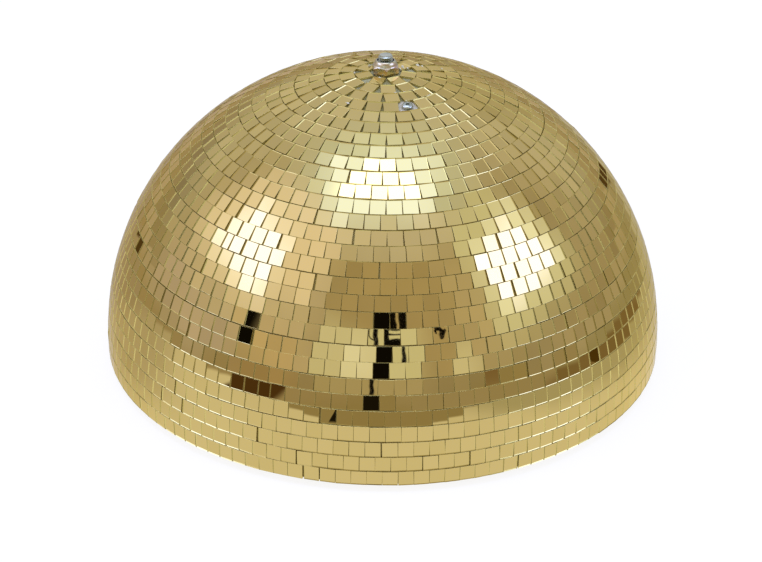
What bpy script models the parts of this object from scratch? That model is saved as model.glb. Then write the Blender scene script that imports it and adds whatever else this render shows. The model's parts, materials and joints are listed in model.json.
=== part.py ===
"""Motor-driven half mirror ball, 40 cm, gold.

The half ball turns on a vertical M10 rod. A synchronous gear motor sits under
it on a round steel plate, which screws to a ceiling. Here the ball stands on
that plate with its pole up.

Frame: +Z is the axis of rotation, towards the pole. The origin is on the axis
in the underside of the base plate, the face that meets the ceiling. -Y is the
front. Metres; the dimensions below are in millimetres, and angles named DEG
in degrees. Z0 and Z1 are lower and upper heights, R is a radius.
"""

from math import acos, atan2, cos, degrees, pi, radians, sin, sqrt, tan

import bmesh
import bpy
from mathutils import Matrix, Vector

MM = 0.001
CLEAR = 0.3               # usual gap between neighbouring pieces

# ---------------------------------------------------------------- dimensions
# mosaic: level rows of glass tiles, built as bands of several rows
R_MIRROR = 200.0          # outer faces of the tiles
GLASS = 1.5
GLUE = 0.3
ROW_DEG = 3.04            # one row of tiles, measured round the meridian
ROWS = 30                 # pole to rim; row 1 is the bare place under the nut
BAND_ROWS = (2, 4, 7, 10, 13, 16, 19, 22, 25, 28, ROWS + 1)  # first rows, and the end
BAND_EDGES = [ROW_DEG * (row - 1) for row in BAND_ROWS]      # polar angles
BAND_GAP = 0.4            # grout line between bands, along the meridian
FLATS = 36                # flats round the ball and the base plate
TILE_GAP = (10.6, 10.6, 12.0)   # space of the tile left out round the hub screw

# shell
R_SHELL = R_MIRROR - GLASS - GLUE
SHELL = 2.7
R_SHELL_IN = R_SHELL - SHELL
Z_RIM = 5.0               # lower edge of the ball
Z_BALL = Z_RIM + R_MIRROR * radians(ROW_DEG * ROWS - 90.0)   # centre of the ball
R_POLE_HOLE = 5.5
RIM_FLANGE_R = 188.0
RIM_FLANGE = 3.0

# hub strap under the pole and the one screw that keeps it from turning
STRAP_R = R_SHELL_IN - 1.6
STRAP = 2.0
STRAP_W = 26.0
STRAP_HALF_DEG = 17.5
SCREW_POLAR_DEG = 13.7    # about the middle of row 5
SCREW_AZ_DEG = 18.4       # from the front, towards +X
HUB_SCREW_HEAD_D = 7.5
HUB_SCREW_D = 3.9

# M10 rod and nuts
ROD_R = 5.0
ROD_BORE_R = ROD_R + 0.4  # plain holes round the rod
NUT_BORE_R = ROD_R + CLEAR
ROD_CHAMFER = 0.9
Z_ROD_TOP = Z_BALL + R_MIRROR + 12.0
Z_ROD_BOTTOM = 74.3
NUT_AF = 17.0             # across flats
LOCK_NUT_TURN = radians(-84.0)   # one corner points almost to the front
Z_LOCK_NUT = Z_BALL + R_SHELL + 0.25
LOCK_NUT_HEX_H = 7.0
LOCK_NUT_H = 10.0
Z_WASHER = Z_BALL + STRAP_R - STRAP - 0.75   # top of the inner washer
WASHER = 2.0
INNER_NUT_H = 8.0

# base plate
PLATE_R = 183.0
PLATE = 2.0
PLATE_LIP = 7.0
PLATE_BORE_R = 12.0
SEAT_Z = PLATE + CLEAR    # underside of whatever stands on the plate
FIX_PITCH_R = 140.0       # three fixing holes
FIX_HOLE_R = 3.25
CABLE_XY = (0.0, 128.0)
CABLE_HOLE_R = 8.0
EARTH_XY = (44.0, 96.0)

# M4 screws
M4_D = 4.0
M4_HEAD_D = 8.0
PAN_HEAD_H = 2.6          # the hub screw's head too
M4_HOLE_R = 2.35
M4_NUT_HOLE_R = 2.3       # also the holes in the motor's ears
M4_NUT_AF = 7.0
M4_NUT_H = 3.2

# gear motor, 60 mm diameter; the deck is the plate between motor and gears
CAN_R = 30.0
CAN_WALL = 1.0
CAN_Z0, CAN_Z1 = 6.0, 33.7
DECK_Z0, DECK_Z1 = 34.0, 35.5
COVER_Z0 = DECK_Z1 + CLEAR
COVER_INNER_TOP = DECK_Z1 + 16.5
COVER_TOP = COVER_INNER_TOP + 1.5
EAR_Z0, EAR_Z1 = COVER_INNER_TOP + 0.1, COVER_TOP - 0.1
EAR_X = 35.5              # screw holes in the two ears
LEAD_Z = 26.0             # where the leads leave the can

# bridge over the motor
BRIDGE_W = 46.0
BRIDGE_T = 2.5
BRIDGE_X = 48.0
BRIDGE_FOOT_X = 66.0
BRIDGE_Z1 = COVER_TOP + CLEAR + BRIDGE_T
BRIDGE_CHAMFER = 2.0
FOOT_TOP = SEAT_Z + BRIDGE_T
FEET = [(side * 57.5, end * 14.0) for side in (-1, 1) for end in (-1, 1)]

# coupling between output shaft and rod
COUPLING_Z0 = BRIDGE_Z1 + 2.5
COUPLING_Z1 = COUPLING_Z0 + 30.0
COUPLING_STEP_Z = Z_ROD_BOTTOM - 0.6   # where the bore widens for the rod
COUPLING_R = 10.0
COUPLING_CHAMFER = 0.8
SHAFT_BORE_R = 3.8
SHAFT_R = 3.5
Z_SHAFT_TOP = 73.2

# gear train: rotor pinion, three compound gears, output gear. About 117 : 1,
# so the ball turns at 3.2 rpm from a 375 rpm rotor
# (pinion teeth, wheel teeth, module)
STAGES = ((10, 36, 0.62), (10, 36, 0.62), (10, 36, 0.64), (12, 30, 0.75))
PRESSURE = radians(20.0)
BACKLASH = 0.16
# addenda and dedendum in modules; short wheel teeth clear the small pinions' roots
WHEEL_ADDENDUM, PINION_ADDENDUM, DEDENDUM = 0.62, 0.95, 1.3
WHEEL_T = 2.0
WHEEL_Z = (DECK_Z1 + 0.8, DECK_Z1 + 4.2, DECK_Z1 + 7.6)
PINION_TOP = (DECK_Z1 + 6.9, DECK_Z1 + 10.3, DECK_Z1 + 15.0)
OUT_GEAR_Z0, OUT_GEAR_Z1 = DECK_Z1 + 12.2, DECK_Z1 + 14.7
PIN_R, BORE_R = 1.0, 1.3
GEAR_2_OFFSET = 15.0      # the second gear's distance from the main axis

# terminal block and leads
BLOCK_X, BLOCK_Y, BLOCK_Z = 36.0, 18.0, 15.0
BLOCK_CENTRE_Y = 92.0
BLOCK_BEVEL = 0.8
POLES_X = (-11.5, 0.0, 11.5)
WIRE_Z = SEAT_Z + 5.0
LEAD_R = 1.25
LEAD_BEND = 5.0
LEAD_END_Y = BLOCK_CENTRE_Y - 2.0

# ---------------------------------------------------------------- scene set-up
for old in list(bpy.data.objects):
    bpy.data.objects.remove(old, do_unlink=True)

PARTS = bpy.data.collections.new("half_mirror_ball")
CUTTERS = bpy.data.collections.new("cutters")
bpy.context.scene.collection.children.link(PARTS)
bpy.context.scene.collection.children.link(CUTTERS)


def material(name, rgb, roughness, metallic=0.0):
    mat = bpy.data.materials.new(name)
    mat.use_nodes = True
    shader = mat.node_tree.nodes["Principled BSDF"]
    shader.inputs["Base Color"].default_value = (*rgb, 1.0)
    shader.inputs["Roughness"].default_value = roughness
    shader.inputs["Metallic"].default_value = metallic
    mat.diffuse_color = (*rgb, 1.0)
    return mat


GOLD = material("gold_mirror", rgb=(0.80, 0.66, 0.30), roughness=0.04, metallic=1.0)
PLASTIC = material("shell_plastic", rgb=(0.62, 0.61, 0.57), roughness=0.55)
ZINC = material("zinc_steel", rgb=(0.66, 0.66, 0.68), roughness=0.28, metallic=1.0)
COATED = material("coated_steel", rgb=(0.90, 0.90, 0.88), roughness=0.45)
PLATED = material("plated_steel", rgb=(0.72, 0.72, 0.70), roughness=0.35, metallic=1.0)
BRONZE = material("sintered_bronze", rgb=(0.60, 0.42, 0.22), roughness=0.5, metallic=1.0)
BRASS = material("brass", rgb=(0.80, 0.62, 0.28), roughness=0.3, metallic=1.0)
COPPER = material("enamelled_copper", rgb=(0.62, 0.28, 0.14), roughness=0.35, metallic=1.0)
WHITE_NYLON = material("white_nylon", rgb=(0.88, 0.87, 0.82), roughness=0.5)
BLACK_NYLON = material("black_nylon", rgb=(0.03, 0.03, 0.03), roughness=0.5)
FERRITE = material("ferrite", rgb=(0.10, 0.10, 0.11), roughness=0.6)
RUBBER = material("rubber", rgb=(0.02, 0.02, 0.02), roughness=0.8)
BLUE = material("blue_insulation", rgb=(0.05, 0.16, 0.55), roughness=0.45)
BROWN = material("brown_insulation", rgb=(0.22, 0.10, 0.05), roughness=0.45)
GREEN = material("green_yellow_insulation", rgb=(0.35, 0.55, 0.08), roughness=0.45)


# ---------------------------------------------------------------- modelling helpers
def link(obj, mat=None, cutter=False):
    (CUTTERS if cutter else PARTS).objects.link(obj)
    if mat is not None:
        obj.data.materials.append(mat)
    if cutter:
        obj.hide_render = True
        obj.display_type = "WIRE"
    return obj


def smooth(obj, angle):
    obj.data.shade_smooth()
    obj.data.set_sharp_from_angle(angle=radians(angle))
    return obj


def shift(x, y, z):
    return Matrix.Translation(Vector((x, y, z)) * MM)


def along(point, direction):
    """A matrix with its origin at point and +Z along direction."""
    turn = Vector(direction).normalized().to_track_quat("Z", "Y")
    return shift(*point) @ turn.to_matrix().to_4x4()


def turned(name, profile, mat=None, steps=32, cutter=False, xy=(0, 0)):
    """A turned piece: (radius, height) points down the outer side.

    The profile is closed into a ring unless both ends are on the axis.
    """
    count = len(profile)
    edges = [(i, i + 1) for i in range(count - 1)]
    if profile[0][0] != 0 or profile[-1][0] != 0:
        edges.append((count - 1, 0))
    mesh = bpy.data.meshes.new(name)
    mesh.from_pydata([(r * MM, 0, z * MM) for r, z in profile], edges, [])
    obj = link(bpy.data.objects.new(name, mesh), mat, cutter)
    obj.location = (xy[0] * MM, xy[1] * MM, 0)
    screw = obj.modifiers.new("turn", "SCREW")
    screw.axis, screw.angle = "Z", 2 * pi
    screw.steps = screw.render_steps = steps
    screw.use_merge_vertices, screw.merge_threshold = True, 1e-6
    screw.use_smooth_shade = True
    screw.use_normal_calculate = False
    return obj


def disc(r0, r1, z0, z1):
    """Profile of a plain ring, or of a disc when r0 is 0."""
    return [(r0, z1), (r1, z1), (r1, z0), (r0, z0)]


def raised(profile, base):
    """A profile whose heights were given above base."""
    return [(r, base + z) for r, z in profile]


def outline(name, loops, z0, z1, mat=None, cutter=False, xy=(0, 0)):
    """A flat piece: closed outlines in X and Y, filled. Inner loops are holes."""
    curve = bpy.data.curves.new(name, "CURVE")
    curve.dimensions, curve.fill_mode = "2D", "BOTH"
    curve.extrude = (z1 - z0) / 2 * MM
    for loop in loops:
        spline = curve.splines.new("POLY")
        spline.points.add(len(loop) - 1)
        for point, (x, y) in zip(spline.points, loop):
            point.co = (x * MM, y * MM, 0, 1)
        spline.use_cyclic_u = True
    obj = link(bpy.data.objects.new(name, curve), mat, cutter)
    obj.location = (xy[0] * MM, xy[1] * MM, (z0 + z1) / 2 * MM)
    return obj


def as_mesh(obj):
    """The same piece as a welded mesh, ready for a Boolean."""
    bpy.context.view_layer.update()
    graph = bpy.context.evaluated_depsgraph_get()
    mesh = bpy.data.meshes.new_from_object(obj.evaluated_get(graph))
    bm = bmesh.new()
    bm.from_mesh(mesh)
    bmesh.ops.remove_doubles(bm, verts=bm.verts, dist=1e-6)
    bmesh.ops.recalc_face_normals(bm, faces=bm.faces)
    bm.to_mesh(mesh)
    bm.free()
    if not mesh.materials:
        for mat in obj.data.materials:
            mesh.materials.append(mat)
    name, world, cutter = obj.name, obj.matrix_world.copy(), obj.hide_render
    bpy.data.objects.remove(obj, do_unlink=True)
    new = link(bpy.data.objects.new(name, mesh), cutter=cutter)
    new.matrix_world = world
    return new


def box(name, size, centre=(0, 0, 0), mat=None, cutter=False):
    bpy.ops.mesh.primitive_cube_add(size=1.0)
    obj = bpy.context.active_object
    for collection in list(obj.users_collection):
        collection.objects.unlink(obj)
    obj.name = obj.data.name = name
    obj.data.transform(Matrix.Diagonal((*[s * MM for s in size], 1)))
    link(obj, mat, cutter)
    obj.location = Vector(centre) * MM
    return obj


def boolean(obj, other, kind="DIFFERENCE"):
    mod = obj.modifiers.new(kind.lower(), "BOOLEAN")
    mod.operation, mod.solver, mod.object = kind, "EXACT", other


def drill(obj, name, radius, z0, z1, xy=(0, 0), steps=20, matrix=None):
    """Cut a round hole from z0 to z1 at xy, or along the matrix's Z axis."""
    cutter = as_mesh(turned(name, disc(0, radius, z0, z1), steps=steps, cutter=True, xy=xy))
    if matrix is not None:
        cutter.matrix_world = matrix
    boolean(obj, cutter)


def hexagon(af, turn=0.0):
    r = af / 2 / cos(pi / 6)
    return [(r * cos(turn + k * pi / 3), r * sin(turn + k * pi / 3)) for k in range(6)]


def circle(r, count, xy=(0, 0)):
    angles = [2 * pi * k / count for k in range(count)]
    return [(xy[0] + r * cos(a), xy[1] + r * sin(a)) for a in angles]


def arc(r, start, end, steps):
    angles = [start + k * (end - start) / steps for k in range(steps + 1)]
    return [(r * cos(a), r * sin(a)) for a in angles]


def chamfered_nut(name, z0, z1):
    """An M10 hexagon nut: the prism is cut back at its corners by a turned cone."""
    nut = as_mesh(outline(name, [hexagon(NUT_AF)], z0, z1, ZINC))
    flat_r = NUT_AF / 2
    corner_r = flat_r / cos(pi / 6)
    chamfer = (corner_r - flat_r) * 0.6 + 0.3
    face_r, wide_r = flat_r - 0.3, corner_r + 0.5
    profile = [
        (0, z1 + 1), (face_r, z1 + 1), (face_r, z1), (wide_r, z1 - chamfer),
        (wide_r, z0 + chamfer), (face_r, z0), (face_r, z0 - 1), (0, z0 - 1)]
    boolean(nut, as_mesh(turned(name + "_cone", profile, steps=18, cutter=True)), "INTERSECT")
    drill(nut, name + "_bore", NUT_BORE_R, z0 - 1, z1 + 1, steps=18)
    smooth(nut, 30)


def pan_screw(name, length, matrix, mat=ZINC, head_d=M4_HEAD_D, thread_d=M4_D, steps=10):
    """A pan-head cross-recess screw, seated at the matrix's origin, its head along +Z."""
    head_r, head_h, r = head_d / 2, PAN_HEAD_H, thread_d / 2
    profile = [
        (0, head_h), (head_r * 0.62, head_h), (head_r, head_h * 0.45), (head_r, 0.0),
        (r, 0.0), (r, -length + r * 0.7), (r * 0.4, -length), (0, -length)]
    screw = as_mesh(turned(name, profile, mat, steps=steps))
    screw.matrix_world = matrix
    for k in range(2):
        size = (head_d * 0.56, head_d * 0.13, head_h * 0.9)
        slot = box(f"{name}_recess_{k}", size, cutter=True)
        slot.matrix_world = matrix @ Matrix.Rotation(k * pi / 2, 4, "Z") @ shift(0, 0, head_h)
        boolean(screw, slot)
    smooth(screw, 35)


# ---------------------------------------------------------------- the half ball
def on_ball(r, polar_deg):
    """(radius, height) on a sphere about the ball's centre, or on the straight skirt below."""
    if polar_deg > 90:
        return r, Z_BALL - R_MIRROR * radians(polar_deg - 90)
    return r * sin(radians(polar_deg)), Z_BALL + r * cos(radians(polar_deg))


def at_screw(r):
    """A matrix at radius r from the ball's centre, on the hub screw's line, +Z outwards."""
    azimuth, polar = radians(SCREW_AZ_DEG), radians(SCREW_POLAR_DEG)
    normal = Vector((sin(polar) * sin(azimuth), -sin(polar) * cos(azimuth), cos(polar)))
    east = Vector((cos(azimuth), sin(azimuth), 0))
    turn = Matrix((east, normal.cross(east), normal)).transposed().to_4x4()
    return shift(*(normal * r + Vector((0, 0, Z_BALL)))) @ turn


def dome_side(r):
    """One side of the shell's section, from the pole hole to the last band."""
    pole = (R_POLE_HOLE, Z_BALL + sqrt(r**2 - R_POLE_HOLE**2))
    return [pole] + [on_ball(r, a) for a in BAND_EDGES[:-1]]


def build_shell():
    outer = dome_side(R_SHELL) + [(R_SHELL, Z_BALL), (R_SHELL, Z_RIM)]
    flange = [(RIM_FLANGE_R, Z_RIM), (RIM_FLANGE_R, Z_RIM + RIM_FLANGE)]
    inner = dome_side(R_SHELL_IN) + [(R_SHELL_IN, Z_RIM + RIM_FLANGE)]
    shell = as_mesh(turned("dome_shell", outer + flange + inner[::-1], PLASTIC, steps=FLATS))
    drill(shell, "shell_hole", HUB_SCREW_D / 2 + CLEAR, -8, 6, steps=12, matrix=at_screw(R_SHELL))
    smooth(shell, 40)


def build_mirror_bands():
    half_gap = degrees(BAND_GAP / 2 / R_MIRROR)
    last = len(BAND_ROWS) - 2
    for k in range(last + 1):
        top = BAND_EDGES[k] + half_gap
        bottom = BAND_EDGES[k + 1] - (half_gap if k < last else 0)
        angles = [top] + ([90.0] if bottom > 90 else []) + [bottom]
        profile = [on_ball(R_MIRROR, a) for a in angles]
        profile += [on_ball(R_MIRROR - GLASS, a) for a in angles[::-1]]
        band = as_mesh(turned(f"mirror_band_{k + 1:02d}", profile, GOLD, steps=FLATS))
        if top < SCREW_POLAR_DEG < bottom:
            gap = box("left_out_tile", TILE_GAP, cutter=True)
            gap.matrix_world = at_screw(R_MIRROR)
            boolean(band, gap)
        smooth(band, 3)


def build_hub_strap():
    """A flat bar bent to the inside of the shell, across the pole."""
    half = radians(STRAP_HALF_DEG)
    left, right = pi / 2 + half, pi / 2 - half
    loop = arc(STRAP_R, left, right, 8) + arc(STRAP_R - STRAP, right, left, 8)
    strap = as_mesh(outline("hub_strap", [loop], -STRAP_W / 2, STRAP_W / 2, COATED))
    # the outline lies in X and Y: stand it up, then turn its length to the screw
    turn = Matrix.Rotation(radians(SCREW_AZ_DEG - 90), 4, "Z")
    strap.matrix_world = shift(0, 0, Z_BALL) @ turn @ Matrix.Rotation(pi / 2, 4, "X")
    drill(strap, "strap_bore", ROD_BORE_R, Z_BALL + 150, Z_BALL + 230)
    drill(strap, "strap_hole", HUB_SCREW_D / 2 + CLEAR, -12, 6, steps=12,
          matrix=at_screw(R_SHELL))
    pan_screw("hub_screw", 9.5, at_screw(R_SHELL + CLEAR),
              head_d=HUB_SCREW_HEAD_D, thread_d=HUB_SCREW_D, steps=12)


# ---------------------------------------------------------------- rod and its nuts
def build_rod():
    """M10 rod with chamfered ends."""
    end_r = ROD_R - ROD_CHAMFER
    profile = [
        (0, Z_ROD_TOP), (end_r, Z_ROD_TOP), (ROD_R, Z_ROD_TOP - ROD_CHAMFER),
        (ROD_R, Z_ROD_BOTTOM + ROD_CHAMFER), (end_r, Z_ROD_BOTTOM), (0, Z_ROD_BOTTOM)]
    smooth(as_mesh(turned("drive_rod", profile, ZINC, steps=24)), 50)


# (radius, height above the nut's underside)
LOCK_NUT_CONE = [
    (0, 9), (8.3, 9), (8.3, LOCK_NUT_HEX_H), (10.4, 5.6), (10.4, 1.3), (8.6, -0.2), (0, -0.2)]
LOCK_NUT_COLLAR = [
    (0, LOCK_NUT_H), (6.3, LOCK_NUT_H), (7.0, LOCK_NUT_H - 0.5), (7.7, 8.3),
    (8.0, 7.3), (8.0, 6.0), (0, 6.0)]
LOCK_NUT_SEAT_R = 6.3


def build_lock_nut():
    """Self-locking nut: hexagon below, rounded collar above with a nylon ring in it."""
    z = Z_LOCK_NUT
    hex_top = z + LOCK_NUT_HEX_H
    nut = as_mesh(outline("lock_nut", [hexagon(NUT_AF, LOCK_NUT_TURN)], z, hex_top, ZINC))
    for name, profile, kind in (("lock_nut_cone", LOCK_NUT_CONE, "INTERSECT"),
                                ("lock_nut_collar", LOCK_NUT_COLLAR, "UNION")):
        boolean(nut, as_mesh(turned(name, raised(profile, z), steps=24, cutter=True)), kind)
    drill(nut, "lock_nut_bore", NUT_BORE_R, z - 1, z + 11, steps=24)
    drill(nut, "lock_nut_seat", LOCK_NUT_SEAT_R, hex_top, z + 9.4, steps=24)
    smooth(nut, 30)
    ring = disc(ROD_R + 0.15, LOCK_NUT_SEAT_R - CLEAR, z + 7.25, z + 9.1)
    turned("lock_nut_insert", ring, BLACK_NYLON, steps=24)


def build_inner_nut():
    """Washer and nut under the strap."""
    washer_z0 = Z_WASHER - WASHER
    turned("inner_washer", disc(ROD_BORE_R, 10.0, washer_z0, Z_WASHER), ZINC, steps=20)
    nut_z1 = washer_z0 - CLEAR
    chamfered_nut("inner_nut", nut_z1 - INNER_NUT_H, nut_z1)


# ---------------------------------------------------------------- coupling
def build_coupling():
    z0, z1 = COUPLING_Z0, COUPLING_Z1
    end_r = COUPLING_R - COUPLING_CHAMFER
    sleeve = as_mesh(turned("coupling_sleeve", [
        (NUT_BORE_R, z1), (end_r, z1), (COUPLING_R, z1 - COUPLING_CHAMFER),
        (COUPLING_R, z0 + COUPLING_CHAMFER), (end_r, z0), (SHAFT_BORE_R, z0),
        (SHAFT_BORE_R, COUPLING_STEP_Z), (NUT_BORE_R, COUPLING_STEP_Z)], ZINC, steps=20))
    # set screws enter from the front: (name, height above the sleeve's foot, tip's distance)
    set_screws = (("lower", 8.0, 3.9), ("upper", 23.0, ROD_R + 0.35))
    outer_end, socket_z0, socket_z1 = 9.4, 7.6, 10.5
    for k, (name, height, tip) in enumerate(set_screws):
        inwards_out = along((0, 0, z0 + height), (0, -1, 0))
        drill(sleeve, f"set_screw_hole_{k}", 2.3, 0.5, 14, steps=12, matrix=inwards_out)
        profile = [
            (0, outer_end), (1.7, outer_end), (2.0, outer_end - 0.4),
            (2.0, tip + 0.5), (1.5, tip), (0, tip)]
        grub = as_mesh(turned(f"set_screw_{name}", profile, ZINC, steps=12))
        grub.matrix_world = inwards_out
        socket = as_mesh(outline(f"set_screw_socket_{k}", [hexagon(2.0)],
                                 socket_z0, socket_z1, cutter=True))
        socket.matrix_world = inwards_out @ shift(0, 0, (socket_z0 + socket_z1) / 2)
        boolean(grub, socket)
    smooth(sleeve, 30)
    chamfered_nut("coupling_jam_nut", z1 + CLEAR, z1 + 5.8)
    washer = disc(4.0, 11.0, BRIDGE_Z1 + 0.6, BRIDGE_Z1 + 2.1)
    turned("thrust_washer", washer, WHITE_NYLON, steps=20)


# ---------------------------------------------------------------- output shaft
def build_output_shaft():
    """Shaft with a circlip groove near its foot and a flat on its front, and its bush."""
    groove_r, z = 3.0, DECK_Z1
    shaft = as_mesh(turned("output_shaft", [
        (0, Z_SHAFT_TOP), (SHAFT_R - 0.4, Z_SHAFT_TOP), (SHAFT_R, Z_SHAFT_TOP - 0.4),
        (SHAFT_R, z + 11.9), (groove_r, z + 11.9), (groove_r, z + 10.9),
        (SHAFT_R, z + 10.9), (SHAFT_R, z + 10.4), (0, z + 10.4)], ZINC, steps=20))
    boolean(shaft, box("shaft_flat", (8, 2, 14), (0, -4.0, 66.5), cutter=True))
    smooth(shaft, 40)

    half_opening = radians(40)
    start, end = half_opening, 2 * pi - half_opening
    clip = arc(5.2, start, end, 20) + arc(3.2, end, start, 16)
    outline("shaft_circlip", [clip], z + 11.1, z + 11.7, ZINC)

    bore_r, sleeve_r, flange_r = SHAFT_R + 0.25, 6.0, 8.0
    turned("output_bush", [
        (bore_r, BRIDGE_Z1 + CLEAR), (sleeve_r, BRIDGE_Z1 + CLEAR), (sleeve_r, z + 16.2),
        (flange_r, z + 16.2), (flange_r, z + 15.2), (bore_r, z + 15.2)], BRONZE, steps=20)


# ---------------------------------------------------------------- gears
def involute(angle):
    return tan(angle) - angle


def gear_loop(teeth, module, phase, pinion=False):
    """A spur gear's outline, anticlockwise, with one tooth centred on the angle phase."""
    pitch_r = teeth * module / 2
    base_r = pitch_r * cos(PRESSURE)
    tip_r = pitch_r + (PINION_ADDENDUM if pinion else WHEEL_ADDENDUM) * module
    root_r = pitch_r - DEDENDUM * module

    def half_angle(r):
        slope = acos(base_r / r) if r > base_r else 0.0
        at_pitch = pi / (2 * teeth) - BACKLASH / 4 / pitch_r
        return at_pitch + involute(PRESSURE) - involute(slope)

    # a pinion's flank has a middle point, a wheel's is straight
    radii = [root_r] + ([(root_r + tip_r) / 2] if pinion else []) + [tip_r]
    loop = []
    for k in range(teeth):
        centre = phase + 2 * pi * k / teeth
        for side, flank in ((-1, radii), (1, radii[::-1])):
            angles = [centre + side * half_angle(r) for r in flank]
            loop += [(r * cos(a), r * sin(a)) for r, a in zip(flank, angles)]
    return loop


def meshed_phase(a_xy, a_teeth, a_phase, b_xy, b_teeth):
    """The phase that puts gear b in mesh with gear a."""
    line = atan2(b_xy[1] - a_xy[1], b_xy[0] - a_xy[0])
    pitches = (line - a_phase) * a_teeth / (2 * pi)
    return line + pi - (0.5 - pitches) * 2 * pi / b_teeth


def gear_axes():
    """Rotor, three compound gears and output, each pair at its centre distance."""
    d0, d1, d2, d3 = [m * (p + w) / 2 for p, w, m in STAGES]
    offset = GEAR_2_OFFSET
    angle_2 = acos((offset**2 + d0**2 - d1**2) / (2 * offset * d0))
    angle_3 = angle_2 + acos((d3**2 + offset**2 - d2**2) / (2 * d3 * offset))
    gear_2 = (offset * cos(angle_2), offset * sin(angle_2))
    gear_3 = (d3 * cos(angle_3), d3 * sin(angle_3))
    return (0.0, 0.0), (d0, 0.0), gear_2, gear_3, (0.0, 0.0)


AXES = gear_axes()


def build_gears():
    phase = 0.0                        # the rotor pinion's
    for k in range(3):
        driver_teeth, teeth, module = STAGES[k]
        wheel_phase = meshed_phase(AXES[k], driver_teeth, phase, AXES[k + 1], teeth)
        next_teeth, _, next_module = STAGES[k + 1]
        name, xy, z0 = f"gear_{k + 1}", AXES[k + 1], WHEEL_Z[k]
        wheel = as_mesh(outline(
            name, [gear_loop(teeth, module, wheel_phase)], z0, z0 + WHEEL_T,
            BRASS if k == 2 else WHITE_NYLON, xy=xy))
        phase = radians(7.0 * k)       # this gear's own pinion
        pinion = as_mesh(outline(
            name + "_pinion", [gear_loop(next_teeth, next_module, phase, pinion=True)],
            z0 + WHEEL_T * 0.5, PINION_TOP[k], cutter=True, xy=xy))
        boolean(wheel, pinion, "UNION")
        drill(wheel, name + "_bore", BORE_R, 30, 60, xy, steps=12)
        pin = disc(0, PIN_R, DECK_Z0 + 0.1, COVER_INNER_TOP - 0.3)
        turned(f"gear_pin_{k + 1}", pin, ZINC, steps=12, xy=xy)
    driver_teeth, teeth, module = STAGES[3]
    wheel_phase = meshed_phase(AXES[3], driver_teeth, phase, AXES[4], teeth)
    loops = [gear_loop(teeth, module, wheel_phase), circle(SHAFT_BORE_R, 16)]
    outline("output_gear", loops, OUT_GEAR_Z0, OUT_GEAR_Z1, BRASS)


# ---------------------------------------------------------------- motor
def build_rotor():
    hub_r, neck_r, neck_top = 5.7, 1.75, DECK_Z1 + 0.6
    hub = as_mesh(turned("rotor_hub", [
        (0, neck_top), (neck_r, neck_top), (neck_r, 31.0), (hub_r, 31.0),
        (hub_r, 11.0), (0, 11.0)], WHITE_NYLON, steps=20))
    teeth, _, module = STAGES[0]
    pinion = as_mesh(outline("rotor_pinion", [gear_loop(teeth, module, 0.0, pinion=True)],
                             32.0, DECK_Z1 + 3.4, cutter=True))
    boolean(hub, pinion, "UNION")
    drill(hub, "rotor_bore", BORE_R - 0.1, 5, 60, steps=12)
    smooth(hub, 30)
    turned("rotor_magnet", disc(hub_r + CLEAR, 12.5, 12.0, 29.5), FERRITE, steps=24)
    turned("rotor_pin", disc(0, 0.9, CAN_Z0 + 0.2, DECK_Z1 + 3.2), ZINC, steps=12)


def build_can():
    """Open-topped can with a window for the leads at its back."""
    inner_r, pin_hole_r, floor_z = CAN_R - CAN_WALL, 1.2, CAN_Z0 + CAN_WALL
    can = as_mesh(turned("motor_can", [
        (inner_r, CAN_Z1), (CAN_R, CAN_Z1), (CAN_R, CAN_Z0 + 1.5), (CAN_R - 1.5, CAN_Z0),
        (pin_hole_r, CAN_Z0), (pin_hole_r, floor_z), (inner_r - 1.0, floor_z),
        (inner_r, floor_z + 1.0)], PLATED, steps=32))
    boolean(can, box("lead_window", (11, 8, 6), (0, CAN_R, LEAD_Z), cutter=True))
    smooth(can, 30)


def pole_plate(name, z_disc, z_tip, turn):
    """Steel disc with eight claws bent over between the rotor and the coil."""
    plate = as_mesh(turned(name, disc(13.3, 28.4, z_disc - 0.5, z_disc + 0.5), PLATED, steps=24))
    size = Matrix.Diagonal((1.0 * MM, 3.6 * MM, abs(z_tip - z_disc) * MM, 1))
    claws = bmesh.new()
    for k in range(8):
        made = bmesh.ops.create_cube(claws, size=1.0)["verts"]
        place = Matrix.Rotation(turn + k * pi / 4, 4, "Z") @ shift(13.95, 0, (z_disc + z_tip) / 2)
        bmesh.ops.transform(claws, matrix=place @ size, verts=made)
    mesh = bpy.data.meshes.new(name + "_claws")
    claws.to_mesh(mesh)
    claws.free()
    boolean(plate, link(bpy.data.objects.new(mesh.name, mesh), cutter=True), "UNION")


def build_stator():
    pole_plate("pole_plate_lower", 8.3, 28.5, 0.0)
    pole_plate("pole_plate_upper", 32.6, 12.0, pi / 8)
    turned("coil_bobbin", [
        (15.2, 31.4), (27.0, 31.4), (27.0, 30.4), (16.2, 30.4),
        (16.2, 10.4), (27.0, 10.4), (27.0, 9.4), (15.2, 9.4)], WHITE_NYLON, steps=24)
    turned("stator_coil", [
        (16.5, 30.0), (25.0, 30.0), (25.6, 28.5),
        (25.6, 12.3), (25.0, 10.8), (16.5, 10.8)], COPPER, steps=24)


# the ear on the -X side; the other is this one turned half round
EAR = [(-41, -4), (-38, -7), (-27, -9), (-27, 9), (-38, 7), (-41, 4)]


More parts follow.
